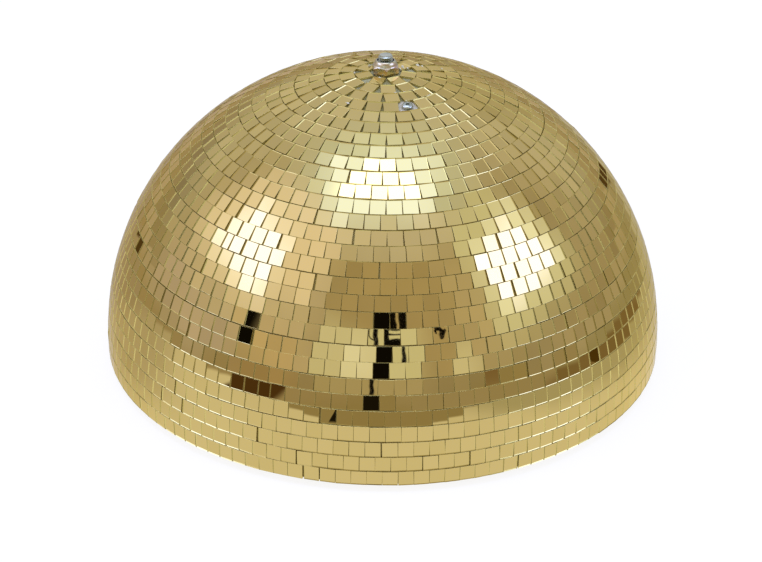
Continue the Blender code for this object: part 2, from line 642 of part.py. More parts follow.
def build_gearbox_case():
    pin_holes = [circle(PIN_R + CLEAR, 8, xy) for xy in AXES[1:4]]
    outline("gearbox_plate", [circle(CAN_R - 0.2, 32), circle(4.4, 16)] + pin_holes,
            DECK_Z0, DECK_Z1, PLATED)
    hole_r, inner_r = 6.3, CAN_R - CAN_WALL
    cover = as_mesh(turned("gearbox_cover", [
        (hole_r, COVER_TOP), (CAN_R - 1.2, COVER_TOP), (CAN_R, COVER_TOP - 1.2),
        (CAN_R, COVER_Z0), (inner_r, COVER_Z0), (inner_r, COVER_INNER_TOP),
        (hole_r, COVER_INNER_TOP)], PLATED, steps=32))
    for name, side in (("cover_ears", 1), ("cover_ears_2", -1)):
        loop = [(side * x, side * y) for x, y in EAR]
        boolean(cover, as_mesh(outline(name, [loop], EAR_Z0, EAR_Z1, cutter=True)), "UNION")
    for x in (-EAR_X, EAR_X):
        drill(cover, f"ear_hole_{x:.0f}", M4_NUT_HOLE_R, COVER_INNER_TOP - 1, COVER_TOP + 1,
              (x, 0), steps=10)
    smooth(cover, 30)


# ---------------------------------------------------------------- bridge and base plate
def build_bridge():
    """A hat-shaped strip, its feet on the base plate."""
    top, wall_x, inner_x = BRIDGE_Z1, BRIDGE_X, BRIDGE_X - BRIDGE_T
    right = [
        (inner_x, top - BRIDGE_T), (inner_x, SEAT_Z), (BRIDGE_FOOT_X, SEAT_Z),
        (BRIDGE_FOOT_X, FOOT_TOP), (wall_x, FOOT_TOP), (wall_x, top - BRIDGE_CHAMFER),
        (wall_x - BRIDGE_CHAMFER, top)]
    left = [(-x, z) for x, z in right[::-1]]
    # the loop starts at the left wall's upper corner, as the mesh's first vertex
    hat = left[1:] + right + left[:1]
    bridge = as_mesh(outline("motor_bridge", [hat[::-1]], -BRIDGE_W / 2, BRIDGE_W / 2, COATED))
    bridge.matrix_world = Matrix.Rotation(pi / 2, 4, "X")
    drill(bridge, "bridge_bore", 6.4, top - 10, top + 5, steps=24)
    for x in (-EAR_X, EAR_X):
        drill(bridge, f"bridge_hole_{x:.0f}", M4_HOLE_R, top - 10, top + 5, (x, 0), steps=10)
    for k, xy in enumerate(FEET):
        drill(bridge, f"foot_hole_{k}", M4_HOLE_R, SEAT_Z - 1, FOOT_TOP + 1, xy, steps=10)


def build_base_plate():
    """Round plate with a raised lip; one fixing hole is at the front."""
    inner_r = PLATE_R - 2.0
    plate = as_mesh(turned("base_plate", [
        (inner_r, PLATE_LIP), (PLATE_R, PLATE_LIP), (PLATE_R, 1.0), (PLATE_R - 1.0, 0),
        (PLATE_BORE_R, 0), (PLATE_BORE_R, PLATE), (inner_r - 1.0, PLATE),
        (inner_r, PLATE + 1.0)], COATED, steps=FLATS))
    holes = []                         # (name, radius, xy, steps)
    for k in range(3):
        angle = radians(-90 + 120 * k)
        xy = (FIX_PITCH_R * cos(angle), FIX_PITCH_R * sin(angle))
        holes.append((f"fixing_hole_{k}", FIX_HOLE_R, xy, 14))
    holes += [(f"plate_hole_{k}", M4_HOLE_R, xy, 10) for k, xy in enumerate(FEET)]
    holes.append(("earth_hole", M4_HOLE_R, EARTH_XY, 10))
    holes.append(("cable_hole", CABLE_HOLE_R, CABLE_XY, 16))
    for name, radius, xy, steps in holes:
        drill(plate, name, radius, -1, 4, xy, steps=steps)
    smooth(plate, 30)


def build_fasteners():
    for k, xy in enumerate(FEET):
        pan_screw(f"bridge_screw_{k + 1}", 4.4, shift(*xy, FOOT_TOP + CLEAR))
    nut_z1 = EAR_Z0 - CLEAR
    for k, x in enumerate((-EAR_X, EAR_X)):
        pan_screw(f"motor_screw_{k + 1}", 12.0, shift(x, 0, BRIDGE_Z1 + CLEAR))
        outline(f"motor_nut_{k + 1}", [hexagon(M4_NUT_AF), circle(M4_NUT_HOLE_R, 14)],
                nut_z1 - M4_NUT_H, nut_z1, ZINC, xy=(x, 0))


# ---------------------------------------------------------------- electrical connection
def build_terminal_block():
    y, top = BLOCK_CENTRE_Y, SEAT_Z + BLOCK_Z
    block = box("terminal_block", (BLOCK_X, BLOCK_Y, BLOCK_Z), (0, y, SEAT_Z + BLOCK_Z / 2),
                WHITE_NYLON)
    edges = block.modifiers.new("edges", "BEVEL")
    edges.width, edges.segments = BLOCK_BEVEL * MM, 1
    for k, x in enumerate(POLES_X):
        drill(block, f"screw_well_{k}", 2.6, top - 5.5, top + 2.7, (x, y), steps=10)
        drill(block, f"wire_way_{k}", 1.9, 0, BLOCK_Y * 2, steps=12,
              matrix=along((x, y - BLOCK_Y, WIRE_Z), (0, 1, 0)))


def bent(points, radius, steps=3):
    """The corners of a bent path rounded by quadratic curves."""
    path = [points[0]]
    for before, corner, after in zip(points, points[1:], points[2:]):
        corner = Vector(corner)
        start = corner + (Vector(before) - corner).normalized() * radius
        end = corner + (Vector(after) - corner).normalized() * radius
        for k in range(steps + 1):
            t = k / steps
            path.append(start * (1 - t) ** 2 + corner * 2 * t * (1 - t) + end * t**2)
    return path + [points[-1]]


def lead(name, corners, mat):
    curve = bpy.data.curves.new(name, "CURVE")
    curve.dimensions, curve.bevel_depth, curve.bevel_resolution = "3D", LEAD_R * MM, 1
    curve.use_fill_caps = True
    path = bent(corners, LEAD_BEND)
    spline = curve.splines.new("POLY")
    spline.points.add(len(path) - 1)
    for point, xyz in zip(spline.points, path):
        point.co = (*[c * MM for c in xyz], 1)
    link(bpy.data.objects.new(name, curve), mat)


def build_leads():
    for name, x0, x1, mat in (("live_lead", -3.0, POLES_X[0], BROWN),
                              ("neutral_lead", 3.0, POLES_X[1], BLUE)):
        lead(name, [(x0, 28.2, LEAD_Z), (x0, 42.0, LEAD_Z), (x0, 50.0, WIRE_Z),
                    (x1, 68.0, WIRE_Z), (x1, LEAD_END_Y, WIRE_Z)], mat)
    x, y = EARTH_XY
    lead("earth_lead", [
        (x, y - 5.5, 3.9), (x, y - 14.0, 3.9), (x - 8.0, y - 32.0, WIRE_Z),
        (POLES_X[2], y - 34.0, WIRE_Z), (POLES_X[2], LEAD_END_Y, WIRE_Z)], GREEN)
    pan_screw("earth_screw", 1.7, shift(x, y, SEAT_Z), BRASS)


def build_grommet():
    bore_r, neck_r = 4.5, CABLE_HOLE_R - 0.4
    turned("cable_grommet", [
        (bore_r, PLATE + 2.2), (9.4, PLATE + 2.2), (10.2, PLATE + 1.4), (10.2, SEAT_Z),
        (neck_r, SEAT_Z), (neck_r, 0.3), (bore_r, 0.3)], RUBBER, steps=16, xy=CABLE_XY)


build_shell()
build_mirror_bands()
build_hub_strap()
build_rod()
build_lock_nut()
build_inner_nut()
build_coupling()
build_output_shaft()
build_gears()
build_rotor()
build_can()
build_stator()
build_gearbox_case()
build_bridge()
build_base_plate()
build_fasteners()
build_terminal_block()
build_leads()
build_grommet()
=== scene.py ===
"""Looks of the 40 cm half mirror ball: glass tiles, shell, threaded rod, nut, plate and finishes.

The dome stands pole up with its axis on Z; the camera looks from -Y, with +X to its right.
Sizes are in mm unless noted, and MM turns them into Blender's metres. Azimuth is measured round Z
from -Y towards +X, polar angle down from the pole.
"""

import json
import random
from math import atan2, ceil, cos, degrees, floor, hypot, pi, radians, sin, tau

import bmesh
import bpy
import numpy as np
from mathutils import Matrix, Vector


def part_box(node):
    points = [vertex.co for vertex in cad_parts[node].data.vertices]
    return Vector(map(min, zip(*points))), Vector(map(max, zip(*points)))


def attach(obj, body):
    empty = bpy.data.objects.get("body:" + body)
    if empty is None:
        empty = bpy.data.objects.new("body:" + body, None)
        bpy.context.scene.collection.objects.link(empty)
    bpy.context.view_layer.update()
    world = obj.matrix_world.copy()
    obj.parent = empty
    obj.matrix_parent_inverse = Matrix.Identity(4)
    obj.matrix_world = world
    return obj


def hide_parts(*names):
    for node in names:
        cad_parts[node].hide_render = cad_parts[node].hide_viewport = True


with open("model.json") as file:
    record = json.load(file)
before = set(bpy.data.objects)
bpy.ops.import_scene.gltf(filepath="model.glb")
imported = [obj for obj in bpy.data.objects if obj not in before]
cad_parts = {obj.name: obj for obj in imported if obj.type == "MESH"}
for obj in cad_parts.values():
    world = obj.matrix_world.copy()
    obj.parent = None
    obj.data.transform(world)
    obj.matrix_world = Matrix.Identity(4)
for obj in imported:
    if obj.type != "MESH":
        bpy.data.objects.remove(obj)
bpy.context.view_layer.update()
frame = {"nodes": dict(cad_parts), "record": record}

MM = 0.001
scene = bpy.context.scene
rng = random.Random(4021)

# ------------------------------------------------------------ driving sizes (mm, degrees)
RIM_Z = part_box("mirror_band_10")[0].z / MM
NUT_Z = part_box("lock_nut")[0].z / MM
ROD_BOTTOM, ROD_TOP = (corner.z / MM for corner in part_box("drive_rod"))
MIRROR_RADIUS = 200.0
ROW_STEP, ROWS = 3.04, 30                 # polar angle of one row of tiles, rows down to the rim
BALL_Z = RIM_Z + MIRROR_RADIUS * radians(ROW_STEP * ROWS - 90.0)
BALL_CENTRE = Vector((0, 0, BALL_Z))
GLASS = 1.5
SHELL_RADIUS, SHELL_INSIDE = 198.2, 195.5
SCREW_POLAR, SCREW_AZIMUTH = 13.7, radians(18.4)


def outward(polar, azimuth):
    """Unit vector from the ball's centre; polar in degrees, azimuth in radians."""
    across = sin(radians(polar))
    return Vector((across * sin(azimuth), -across * cos(azimuth), cos(radians(polar))))


# ------------------------------------------------------------ node helpers
class Tree:
    """Builds the nodes of a material or world. Inputs may be numbers, tuples or sockets."""

    def __init__(self, owner):
        self.owner = owner
        owner.use_nodes = True
        self.tree = owner.node_tree
        self.tree.nodes.clear()

    def node(self, kind, inputs=None, **properties):
        node = self.tree.nodes.new("ShaderNode" + kind)
        for name, value in properties.items():
            setattr(node, name, value)
        for key, value in (inputs or {}).items():
            if value is None:
                continue
            socket = node.inputs[key]
            if isinstance(value, bpy.types.NodeSocket):
                self.tree.links.new(value, socket)
            else:
                socket.default_value = (*value, 1.0) if socket.type == "RGBA" else value
        return node

    def socket(self, kind, inputs=None, output=0, **properties):
        return self.node(kind, inputs, **properties).outputs[output]

    def principled(self, inputs):
        """Ends a material with a Principled BSDF and returns the material."""
        self.node("OutputMaterial", {"Surface": self.socket("BsdfPrincipled", inputs)})
        return self.owner

    def math(self, operation, *values):
        return self.socket("Math", dict(enumerate(values)), operation=operation)

    def add(self, first, second):
        return self.math("ADD", first, second)

    def sub(self, first, second):
        return self.math("SUBTRACT", first, second)

    def mul(self, first, second):
        return self.math("MULTIPLY", first, second)

    def maximum(self, first, second):
        return self.math("MAXIMUM", first, second)

    def vector(self, operation, first, second=None, scale=None):
        output = "Value" if operation in ("DOT_PRODUCT", "LENGTH") else "Vector"
        inputs = {0: first, 1: second, "Scale": scale}
        return self.socket("VectorMath", inputs, output, operation=operation)

    def radius(self, x, y):
        return self.vector("LENGTH", self.join(x, y, 0.0))

    def bearing(self, x, y):
        """Azimuth in degrees: 0 towards the camera, positive to its right."""
        return self.mul(self.math("ARCTAN2", x, self.mul(y, -1.0)), 180 / pi)

    def ramp(self, value, start, end, to=(0.0, 1.0)):
        """Smooth step between start and end."""
        inputs = {"Value": value, "From Min": start, "From Max": end, "To Min": to[0], "To Max": to[1]}
        return self.socket("MapRange", inputs, "Result", interpolation_type="SMOOTHSTEP")

    def window(self, value, rise, fall):
        return self.mul(self.ramp(value, *rise), self.ramp(value, *fall))

    def band(self, value, start, end, soft):
        """One between start and end, with edges that spread soft to either side."""
        return self.window(value, (start - soft, start + soft), (end + soft, end - soft))

    def mix(self, factor, first, second, blend="MIX"):
        inputs = {0: factor, 6: first, 7: second}
        return self.socket("Mix", inputs, 2, data_type="RGBA", blend_type=blend)

    def noise(self, place, scale, detail=3.0, roughness=0.5, output="Fac"):
        inputs = {"Vector": place, "Scale": scale, "Detail": detail, "Roughness": roughness}
        return self.socket("TexNoise", inputs, output)

    def bump(self, height, strength, distance):
        return self.socket("Bump", {"Strength": strength, "Distance": distance, "Height": height})

    def coords(self, output="Object"):
        return self.socket("TexCoord", output=output)

    def attribute(self, name):
        return self.socket("Attribute", output="Vector", attribute_type="GEOMETRY", attribute_name=name)

    def to_world(self, vector):
        spaces = {"convert_from": "OBJECT", "convert_to": "WORLD"}
        return self.socket("VectorTransform", {0: vector}, vector_type="VECTOR", **spaces)

    def split(self, vector):
        return self.node("SeparateXYZ", {0: vector}).outputs

    def join(self, x, y, z):
        return self.socket("CombineXYZ", {0: x, 1: y, 2: z})


def material_tree(name):
    return Tree(bpy.data.materials.new(name))


# ------------------------------------------------------------ finishes
GOLD = (0.665, 0.515, 0.170)
GLASS_INDEX = 1.52
PATH = 1.45                # glass path that counts for the bent ray, in glass thicknesses
WAVINESS = 0.0016          # slope of the float glass


def mirror_material():
    """Gold-backed glass. The glass is solid, so the view through it is worked out: where the bent
    ray meets a cut edge before the silvering, the edge reflects it once more, which draws the
    bright line along a tile's far edge."""
    tree = material_tree("gold_mirror_glass")
    geometry = tree.node("NewGeometry")
    view, normal = geometry.outputs["Incoming"], geometry.outputs["Normal"]
    east, up = (tree.to_world(tree.attribute(name)) for name in ("t_east", "t_up"))
    reach_x, reach_y, chance = (tree.split(tree.attribute(name)) for name in ("t_dx", "t_dy", "t_rand"))

    def lean(base, x, y):
        base = tree.vector("ADD", base, tree.vector("SCALE", east, scale=x))
        base = tree.vector("ADD", base, tree.vector("SCALE", up, scale=y))
        return tree.vector("NORMALIZE", base)

    # each tile takes its own place in the noise
    place = tree.join(
        tree.math("MULTIPLY_ADD", reach_x[0], 0.11, tree.mul(chance[0], 37.0)),
        tree.mul(reach_y[0], 0.11),
        tree.mul(chance[1], 91.0),
    )
    wave = tree.noise(place, 1.0, detail=1.0, roughness=0.4, output="Color")
    wave = tree.split(tree.vector("SUBTRACT", wave, (0.5, 0.5, 0.5)))
    wavy = lean(normal, tree.mul(wave[0], WAVINESS), tree.mul(wave[1], WAVINESS))
    view_x, view_y, view_z = (tree.vector("DOT_PRODUCT", view, axis) for axis in (east, up, wavy))

    # sideways travel through the glass, mm per unit of view slope
    slant = tree.add(tree.mul(view_x, view_x), tree.mul(view_y, view_y))
    cosine = tree.maximum(tree.sub(1.0, tree.math("DIVIDE", slant, GLASS_INDEX**2)), 0.05)
    travel = tree.math("DIVIDE", GLASS * PATH / GLASS_INDEX, tree.math("SQRT", cosine))

    def past_edge(view_slope, reach):
        shift = tree.mul(view_slope, travel)
        return tree.maximum(
            tree.math("GREATER_THAN", shift, reach[0]),
            tree.math("GREATER_THAN", tree.mul(shift, -1.0), reach[1]),
        )

    past_x, past_y = past_edge(view_x, reach_x), past_edge(view_y, reach_y)
    edge = tree.maximum(past_x, past_y)
    bent = tree.vector("SCALE", wavy, scale=tree.maximum(view_z, 0.02))
    bent = lean(bent, tree.mul(past_x, view_x), tree.mul(past_y, view_y))

    # the silvering varies from sheet to sheet, and the cut edge has a colour of its own
    deep, bright = (
        tuple(part * factor for part, factor in zip(GOLD, factors))
        for factors in ((0.97, 0.965, 0.93), (1.03, 1.03, 1.06))
    )
    face_colour = tree.mix(chance[0], deep, bright)
    edge_colour = tree.mix(chance[2], (0.54, 0.44, 0.125), (0.76, 0.64, 0.22))
    dust = tree.noise(tree.vector("ADD", place, (4.0, 9.0, 2.0)), 9.0, roughness=0.6)
    dusty = tree.ramp(dust, 0.45, 0.8, to=(0.007, 0.022))
    return tree.principled({
        "Base Color": tree.mix(edge, face_colour, edge_colour),
        "Specular Tint": (1.0, 0.88, 0.55),
        "Metallic": 1.0,
        "Roughness": tree.maximum(tree.mul(edge, 0.16), dusty),
        "Normal": bent,
        "Coat Weight": tree.mul(tree.sub(1.0, edge), 0.45),
        "Coat IOR": 1.5,
        "Coat Roughness": tree.ramp(dust, 0.4, 0.85, to=(0.01, 0.06)),
        "Coat Normal": wavy,
    })


def cut_glass_material():
    """The scored and snapped edges of the tiles. Their bright gold colour is painted light: it lifts
    the shade of the deep, narrow joints between the tiles.
    """
    tree = material_tree("cut_glass_edge")
    stretch = (1.0, 1.0, 1.0)
    grain = tree.noise(tree.vector("MULTIPLY", tree.coords(), stretch), 900.0, roughness=0.6)
    return tree.principled({
        # bright gold: painted light that lifts the shade of the deep joints
        "Base Color": tree.mix(grain, (0.54, 0.44, 0.12), (0.84, 0.72, 0.27)),
        "Metallic": 0.85,
        "Specular Tint": (1.0, 0.86, 0.48),
        "Roughness": tree.ramp(grain, 0.3, 0.7, to=(0.25, 0.45)),
        "Normal": tree.bump(grain, strength=0.5, distance=0.0001),
    })


def shell_material():
    """Moulded plastic shell. Outside it shows only in the joints, brown with contact glue; round
    the pole the glue is thick and pale. Distances are in metres."""
    tree = material_tree("shell_and_glue")
    place = tree.coords()
    x, y, _ = tree.split(place)
    off_axis = tree.radius(x, y)
    grain = tree.noise(place, 260.0, detail=4.0, roughness=0.6)
    blotch = tree.noise(place, 40.0)

    def grained(dark, light):
        return tree.mix(grain, dark, light)

    glue = grained((0.24, 0.185, 0.050), (0.46, 0.37, 0.12))
    dark_glue = grained((0.13, 0.12, 0.032), (0.28, 0.25, 0.080))
    glue = tree.mix(tree.ramp(off_axis, 0.125, 0.070), glue, dark_glue)
    pale_glue = grained((0.24, 0.235, 0.10), (0.50, 0.49, 0.28))
    thick = tree.mul(
        tree.ramp(off_axis, 0.052, 0.016), tree.ramp(blotch, 0.35, 0.6, to=(0.35, 1.0))
    )
    glue = tree.mix(thick, glue, pale_glue)
    # round the hub screw the shell is bare
    screw = outward(SCREW_POLAR, SCREW_AZIMUTH) * (SHELL_RADIUS * MM) + Vector((0, 0, BALL_Z * MM))
    off_screw = tree.vector("LENGTH", tree.vector("SUBTRACT", place, tuple(screw)))
    bare = grained((0.44, 0.41, 0.30), (0.62, 0.58, 0.43))
    outside = tree.mix(tree.ramp(off_screw, 0.0082, 0.0058), glue, bare)
    # inside, bare grey-white plastic with moulding flow
    off_centre = tree.vector("SUBTRACT", place, (0.0, 0.0, BALL_Z * MM))
    inside = tree.math("LESS_THAN", tree.vector("LENGTH", off_centre), (SHELL_RADIUS - 0.9) * MM)
    plastic = tree.mix(blotch, (0.50, 0.49, 0.45), (0.64, 0.63, 0.58))
    fine = tree.noise(place, 700.0, roughness=0.6)
    return tree.principled({
        "Base Color": tree.mix(inside, outside, plastic),
        "Roughness": tree.ramp(grain, 0.3, 0.75, to=(0.35, 0.7)),
        "Specular Tint": (1.0, 0.9, 0.6),
        "Normal": tree.bump(fine, strength=0.7, distance=0.0002),
    })


def clear_glue_material():
    tree = material_tree("clear_glue")
    fine = tree.noise(tree.coords(), 600.0)
    return tree.principled({
        "Base Color": tree.mix(fine, (0.55, 0.52, 0.32), (0.82, 0.77, 0.50)),
        "Roughness": tree.ramp(fine, 0.3, 0.7, to=(0.08, 0.3)),
        "Subsurface Weight": 0.3,
        "Subsurface Radius": (0.001, 0.001, 0.0006),
        "Coat Weight": 0.6,
        "Coat Roughness": 0.05,
    })


def passivated(tree, place, scale, colour, amount):
    """Yellow passivation on zinc: pink, straw and green drift with place and viewing angle."""
    pink, straw, green = (0.98, 0.80, 0.84), (0.99, 0.92, 0.62), (0.78, 0.92, 0.80)
    facing = tree.socket("LayerWeight", {"Blend": 0.35}, "Facing")
    drift = tree.mul(tree.noise(place, scale * 1.1, detail=2.0), 2.3)
    hue = tree.math("FRACT", tree.add(drift, tree.mul(facing, 0.8)))
    film = tree.mix(tree.ramp(hue, 0.0, 0.35), pink, straw)
    film = tree.mix(tree.ramp(hue, 0.35, 0.7), film, green)
    film = tree.mix(tree.ramp(hue, 0.7, 1.0), film, pink)
    return tree.mix(amount, colour, film, blend="MULTIPLY")


def finish(name, dark, light, roughness, metallic, scale, bump,
           depth=0.0001, stretch=(1.0, 1.0, 1.0), iridescent=0.0, spots=None, coat=0.0):
    """A worn finish: colour and roughness wander with a fine and a broad noise, with a fine bump.
    spots is (colour, scale)."""
    tree = material_tree(name)
    place = tree.vector("MULTIPLY", tree.coords(), stretch)
    fine = tree.noise(place, scale * 6, detail=4.0, roughness=0.6)
    broad = tree.noise(place, scale * 0.6)
    colour = tree.mix(tree.ramp(broad, 0.3, 0.7), dark, light)
    colour = tree.mix(tree.mul(tree.ramp(fine, 0.35, 0.7), 0.35), colour, light)
    if iridescent:
        colour = passivated(tree, place, scale, colour, iridescent)
    if spots:
        distance = tree.socket("TexVoronoi", {"Scale": spots[1], "Vector": place}, "Distance")
        colour = tree.mix(tree.ramp(distance, 0.12, 0.05), colour, spots[0])
    inputs = {
        "Base Color": colour,
        "Metallic": metallic,
        "Roughness": tree.add(
            tree.ramp(fine, 0.3, 0.75, to=(roughness * 0.8, roughness * 1.15)),
            tree.ramp(broad, 0.3, 0.7, to=(0.0, 0.06)),
        ),
        "Normal": tree.bump(fine, bump, depth),
    }
    if coat:
        inputs.update({"Coat Weight": coat, "Coat Roughness": 0.12})
    return tree.principled(inputs)


def striped_wire_material():
    """Green insulation with a yellow stripe along its upper and lower sides."""
    tree = material_tree("green_and_yellow_pvc")
    place = tree.coords()
    normal = tree.split(tree.socket("NewGeometry", output="Normal"))
    stripe = tree.ramp(tree.math("ABSOLUTE", normal[2]), 0.35, 0.45)
    fine = tree.noise(place, 900.0)
    colour = tree.mix(stripe, (0.03, 0.26, 0.05), (0.75, 0.66, 0.05))
    return tree.principled({
        "Base Color": tree.mix(tree.mul(fine, 0.2), colour, (0.5, 0.5, 0.4)),
        "Roughness": tree.ramp(fine, 0.3, 0.7, to=(0.35, 0.5)),
        "Normal": tree.bump(fine, strength=0.2, distance=0.0001),
    })


def wound_copper_material():
    """Enamelled wire wound in level layers: the turns are ribs 0.4 mm apart round the coil. The colour
    darkens into the grooves between the turns: painted shade.
    """
    tree = material_tree("wound_copper_wire")
    place = tree.coords()
    turns = tree.math("SINE", tree.mul(tree.split(place)[2], tau / 0.0004))
    fine = tree.noise(place, 500.0)
    crest = tree.mix(fine, (0.66, 0.28, 0.12), (0.80, 0.42, 0.20))
    return tree.principled({
        # darker in the grooves between turns: painted shade
        "Base Color": tree.mix(tree.ramp(turns, -1.0, 1.0), (0.30, 0.10, 0.035), crest),
        "Metallic": 0.85,
        "Roughness": tree.ramp(fine, 0.3, 0.7, to=(0.25, 0.4)),
        "Normal": tree.bump(turns, strength=0.8, distance=0.0002),
    })


# slot: material, dark and light colour, roughness, metallic, noise scale, bump strength, extras
FINISHES = {
    "zinc_steel": ("bright_zinc", (0.55, 0.56, 0.58), (0.80, 0.81, 0.83),
                   0.22, 1.0, 160.0, 0.25, {"depth": 0.00006}),
    "yellow_zinc": ("passivated_zinc", (0.49, 0.44, 0.33), (0.76, 0.69, 0.54),
                    0.21, 1.0, 150.0, 0.25, {"depth": 0.00006, "iridescent": 0.75}),
    "blue_zinc": ("blue_zinc", (0.30, 0.335, 0.27), (0.60, 0.63, 0.49),
                  0.26, 1.0, 200.0, 0.25, {"depth": 0.00006}),
    "black_steel": ("blackened_steel", (0.03, 0.03, 0.035), (0.10, 0.10, 0.11),
                    0.35, 0.8, 150.0, 0.3, {}),
    "coated_steel": ("white_powder_coat", (0.78, 0.78, 0.75), (0.88, 0.88, 0.86),
                     0.42, 0.0, 130.0, 0.55, {"depth": 0.00012}),
    "plated_steel": ("plated_sheet", (0.50, 0.50, 0.49), (0.72, 0.72, 0.70),
                     0.30, 1.0, 110.0, 0.25, {"depth": 0.00008, "stretch": (1.0, 1.0, 0.25)}),
    "sintered_bronze": ("sintered_bronze", (0.34, 0.21, 0.10), (0.62, 0.42, 0.22),
                        0.45, 1.0, 220.0, 0.6, {"spots": ((0.12, 0.07, 0.03), 2600.0)}),
    "brass_gear": ("cut_brass", (0.62, 0.44, 0.16), (0.86, 0.68, 0.32),
                   0.22, 1.0, 200.0, 0.2, {"depth": 0.00005}),
    "brass_screw": ("turned_brass", (0.58, 0.41, 0.15), (0.84, 0.66, 0.30),
                    0.26, 1.0, 240.0, 0.2, {"depth": 0.00005}),
    "white_nylon": ("white_nylon", (0.74, 0.72, 0.64), (0.86, 0.85, 0.79),
                    0.42, 0.0, 140.0, 0.25, {"depth": 0.00008}),
    "black_nylon": ("dark_nylon", (0.012, 0.018, 0.03), (0.05, 0.07, 0.10),
                    0.30, 0.0, 180.0, 0.3, {"coat": 0.3}),
    "ferrite": ("pressed_ferrite", (0.045, 0.045, 0.05), (0.12, 0.12, 0.13),
                0.55, 0.25, 200.0, 0.6, {"spots": ((0.22, 0.22, 0.23), 1800.0)}),
    "black_rubber": ("black_rubber", (0.012, 0.012, 0.012), (0.04, 0.04, 0.04),
                     0.68, 0.0, 160.0, 0.5, {"depth": 0.00015}),
    "blue_insulation": ("blue_pvc", (0.02, 0.09, 0.38), (0.06, 0.17, 0.55),
                        0.40, 0.0, 150.0, 0.25, {}),
    "brown_insulation": ("brown_pvc", (0.10, 0.040, 0.018), (0.20, 0.09, 0.045),
                         0.40, 0.0, 150.0, 0.25, {}),
}

MATERIALS = {
    "gold_mirror": mirror_material(),
    "cut_glass": cut_glass_material(),
    "shell_plastic": shell_material(),
    "clear_glue": clear_glue_material(),
    "enamelled_copper": wound_copper_material(),
    "green_yellow_insulation": striped_wire_material(),
}
for slot, (*values, extras) in FINISHES.items():
    MATERIALS[slot] = finish(*values, **extras)


# ------------------------------------------------------------ mesh helpers
def add(name, mesh, node, slot, *materials, body="ball"):
    """Adds a mesh that rides on a body and takes the place of a CAD node, if one is given."""
    obj = bpy.data.objects.new(name, mesh)
    scene.collection.objects.link(obj)
    for material in materials:
        mesh.materials.append(MATERIALS[material])
    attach(obj, body)
    if node:
        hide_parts(node)


def smooth(mesh, angle):
    mesh.shade_smooth()
    mesh.set_sharp_from_angle(angle=radians(angle))


def circle(radius, z, steps):
    return [(radius * cos(tau * k / steps), radius * sin(tau * k / steps), z) for k in range(steps)]


def mesh_from(name, points, faces):
    mesh = bpy.data.meshes.new(name)
    mesh.from_pydata([(x * MM, y * MM, z * MM) for x, y, z in points], [], faces)
    return mesh


def grid_mesh(name, rings, closed=False, capped=False):
    """A skin over rings of points, closed from last ring to first or capped at both ends."""
    size, count = len(rings[0]), len(rings)
    faces = []
    for i in range(count if closed else count - 1):
        low, high = i * size, ((i + 1) % count) * size
        for k in range(size):
            j = (k + 1) % size
            faces.append((low + k, low + j, high + j, high + k))
    if capped:
        faces.append(tuple(range(size))[::-1])
        faces.append(tuple((count - 1) * size + k for k in range(size)))
    mesh = mesh_from(name, [point for ring in rings for point in ring], faces)
    work = bmesh.new()
    work.from_mesh(mesh)
    bmesh.ops.dissolve_degenerate(work, dist=1e-8, edges=work.edges)
    bmesh.ops.recalc_face_normals(work, faces=work.faces)
    work.to_mesh(mesh)
    work.free()
    return mesh


def revolve(name, profile, steps):
    """A ring-shaped solid from a closed profile of (radius, height)."""
    return grid_mesh(name, [circle(radius, z, steps) for radius, z in profile], closed=True)


def rounded(profile, radius, steps=4):
    """A closed profile with its corners rounded."""
    points = []
    for i, point in enumerate(profile):
        corner = Vector(point)
        before = (Vector(profile[i - 1]) - corner).normalized()
        after = (Vector(profile[(i + 1) % len(profile)]) - corner).normalized()
        for k in range(steps + 1):
            s = k / steps
            points.append(tuple(
                (corner + before * radius) * (1 - s) ** 2
                + corner * 2 * s * (1 - s)
                + (corner + after * radius) * s * s
            ))
    return points


def cylinder_mesh(radius, bottom, top, steps):
    return grid_mesh("cutter", [circle(radius, z, steps) for z in (bottom, top)], capped=True)


def cut(mesh, cutters):
    """The mesh with the cutters (mesh, matrix) taken away."""
    obj = bpy.data.objects.new("work", mesh)
    scene.collection.objects.link(obj)
    made = [obj]
    for cutter_mesh, matrix in cutters:
        cutter = bpy.data.objects.new("cutter", cutter_mesh)
        scene.collection.objects.link(cutter)
        cutter.matrix_world = matrix
        modifier = obj.modifiers.new("cut", "BOOLEAN")
        modifier.operation = "DIFFERENCE"
        modifier.solver = "EXACT"
        modifier.object = cutter
        made.append(cutter)
    bpy.context.view_layer.update()
    evaluated = obj.evaluated_get(bpy.context.evaluated_depsgraph_get())
    result = bpy.data.meshes.new_from_object(evaluated)
    for item in made[::-1]:
        bpy.data.objects.remove(item)
    result.materials.clear()
    return result


# ------------------------------------------------------------ the mosaic
TILE = 10.0
TILE_HALF_HEIGHT = 5.14
TILE_RADIUS = MIRROR_RADIUS - 0.15        # a flat tile's middle lies just inside its corners
UPPER_CORNER = 1.43                       # polar angle from a row's middle up to the tiles' corners
POLE_RADIUS = 11.6                        # of row 2, whose tiles are cut to fit
POLE_TILES = (9.6, 9.2, 9.8, 8.6, 9.7, 9.3, 9.0)
BAND_ROWS = (2, *range(4, 32, 3))         # first row of each band, then one past the last
MAX_TILT = 2.4
# row: azimuth of its first joint, degrees
FIRST_JOINT = {
    20: -1.90, 21: -2.98, 22: -1.22, 23: -1.79, 24: -0.76, 25: -0.43, 26: -8.42, 27: -2.2,
}


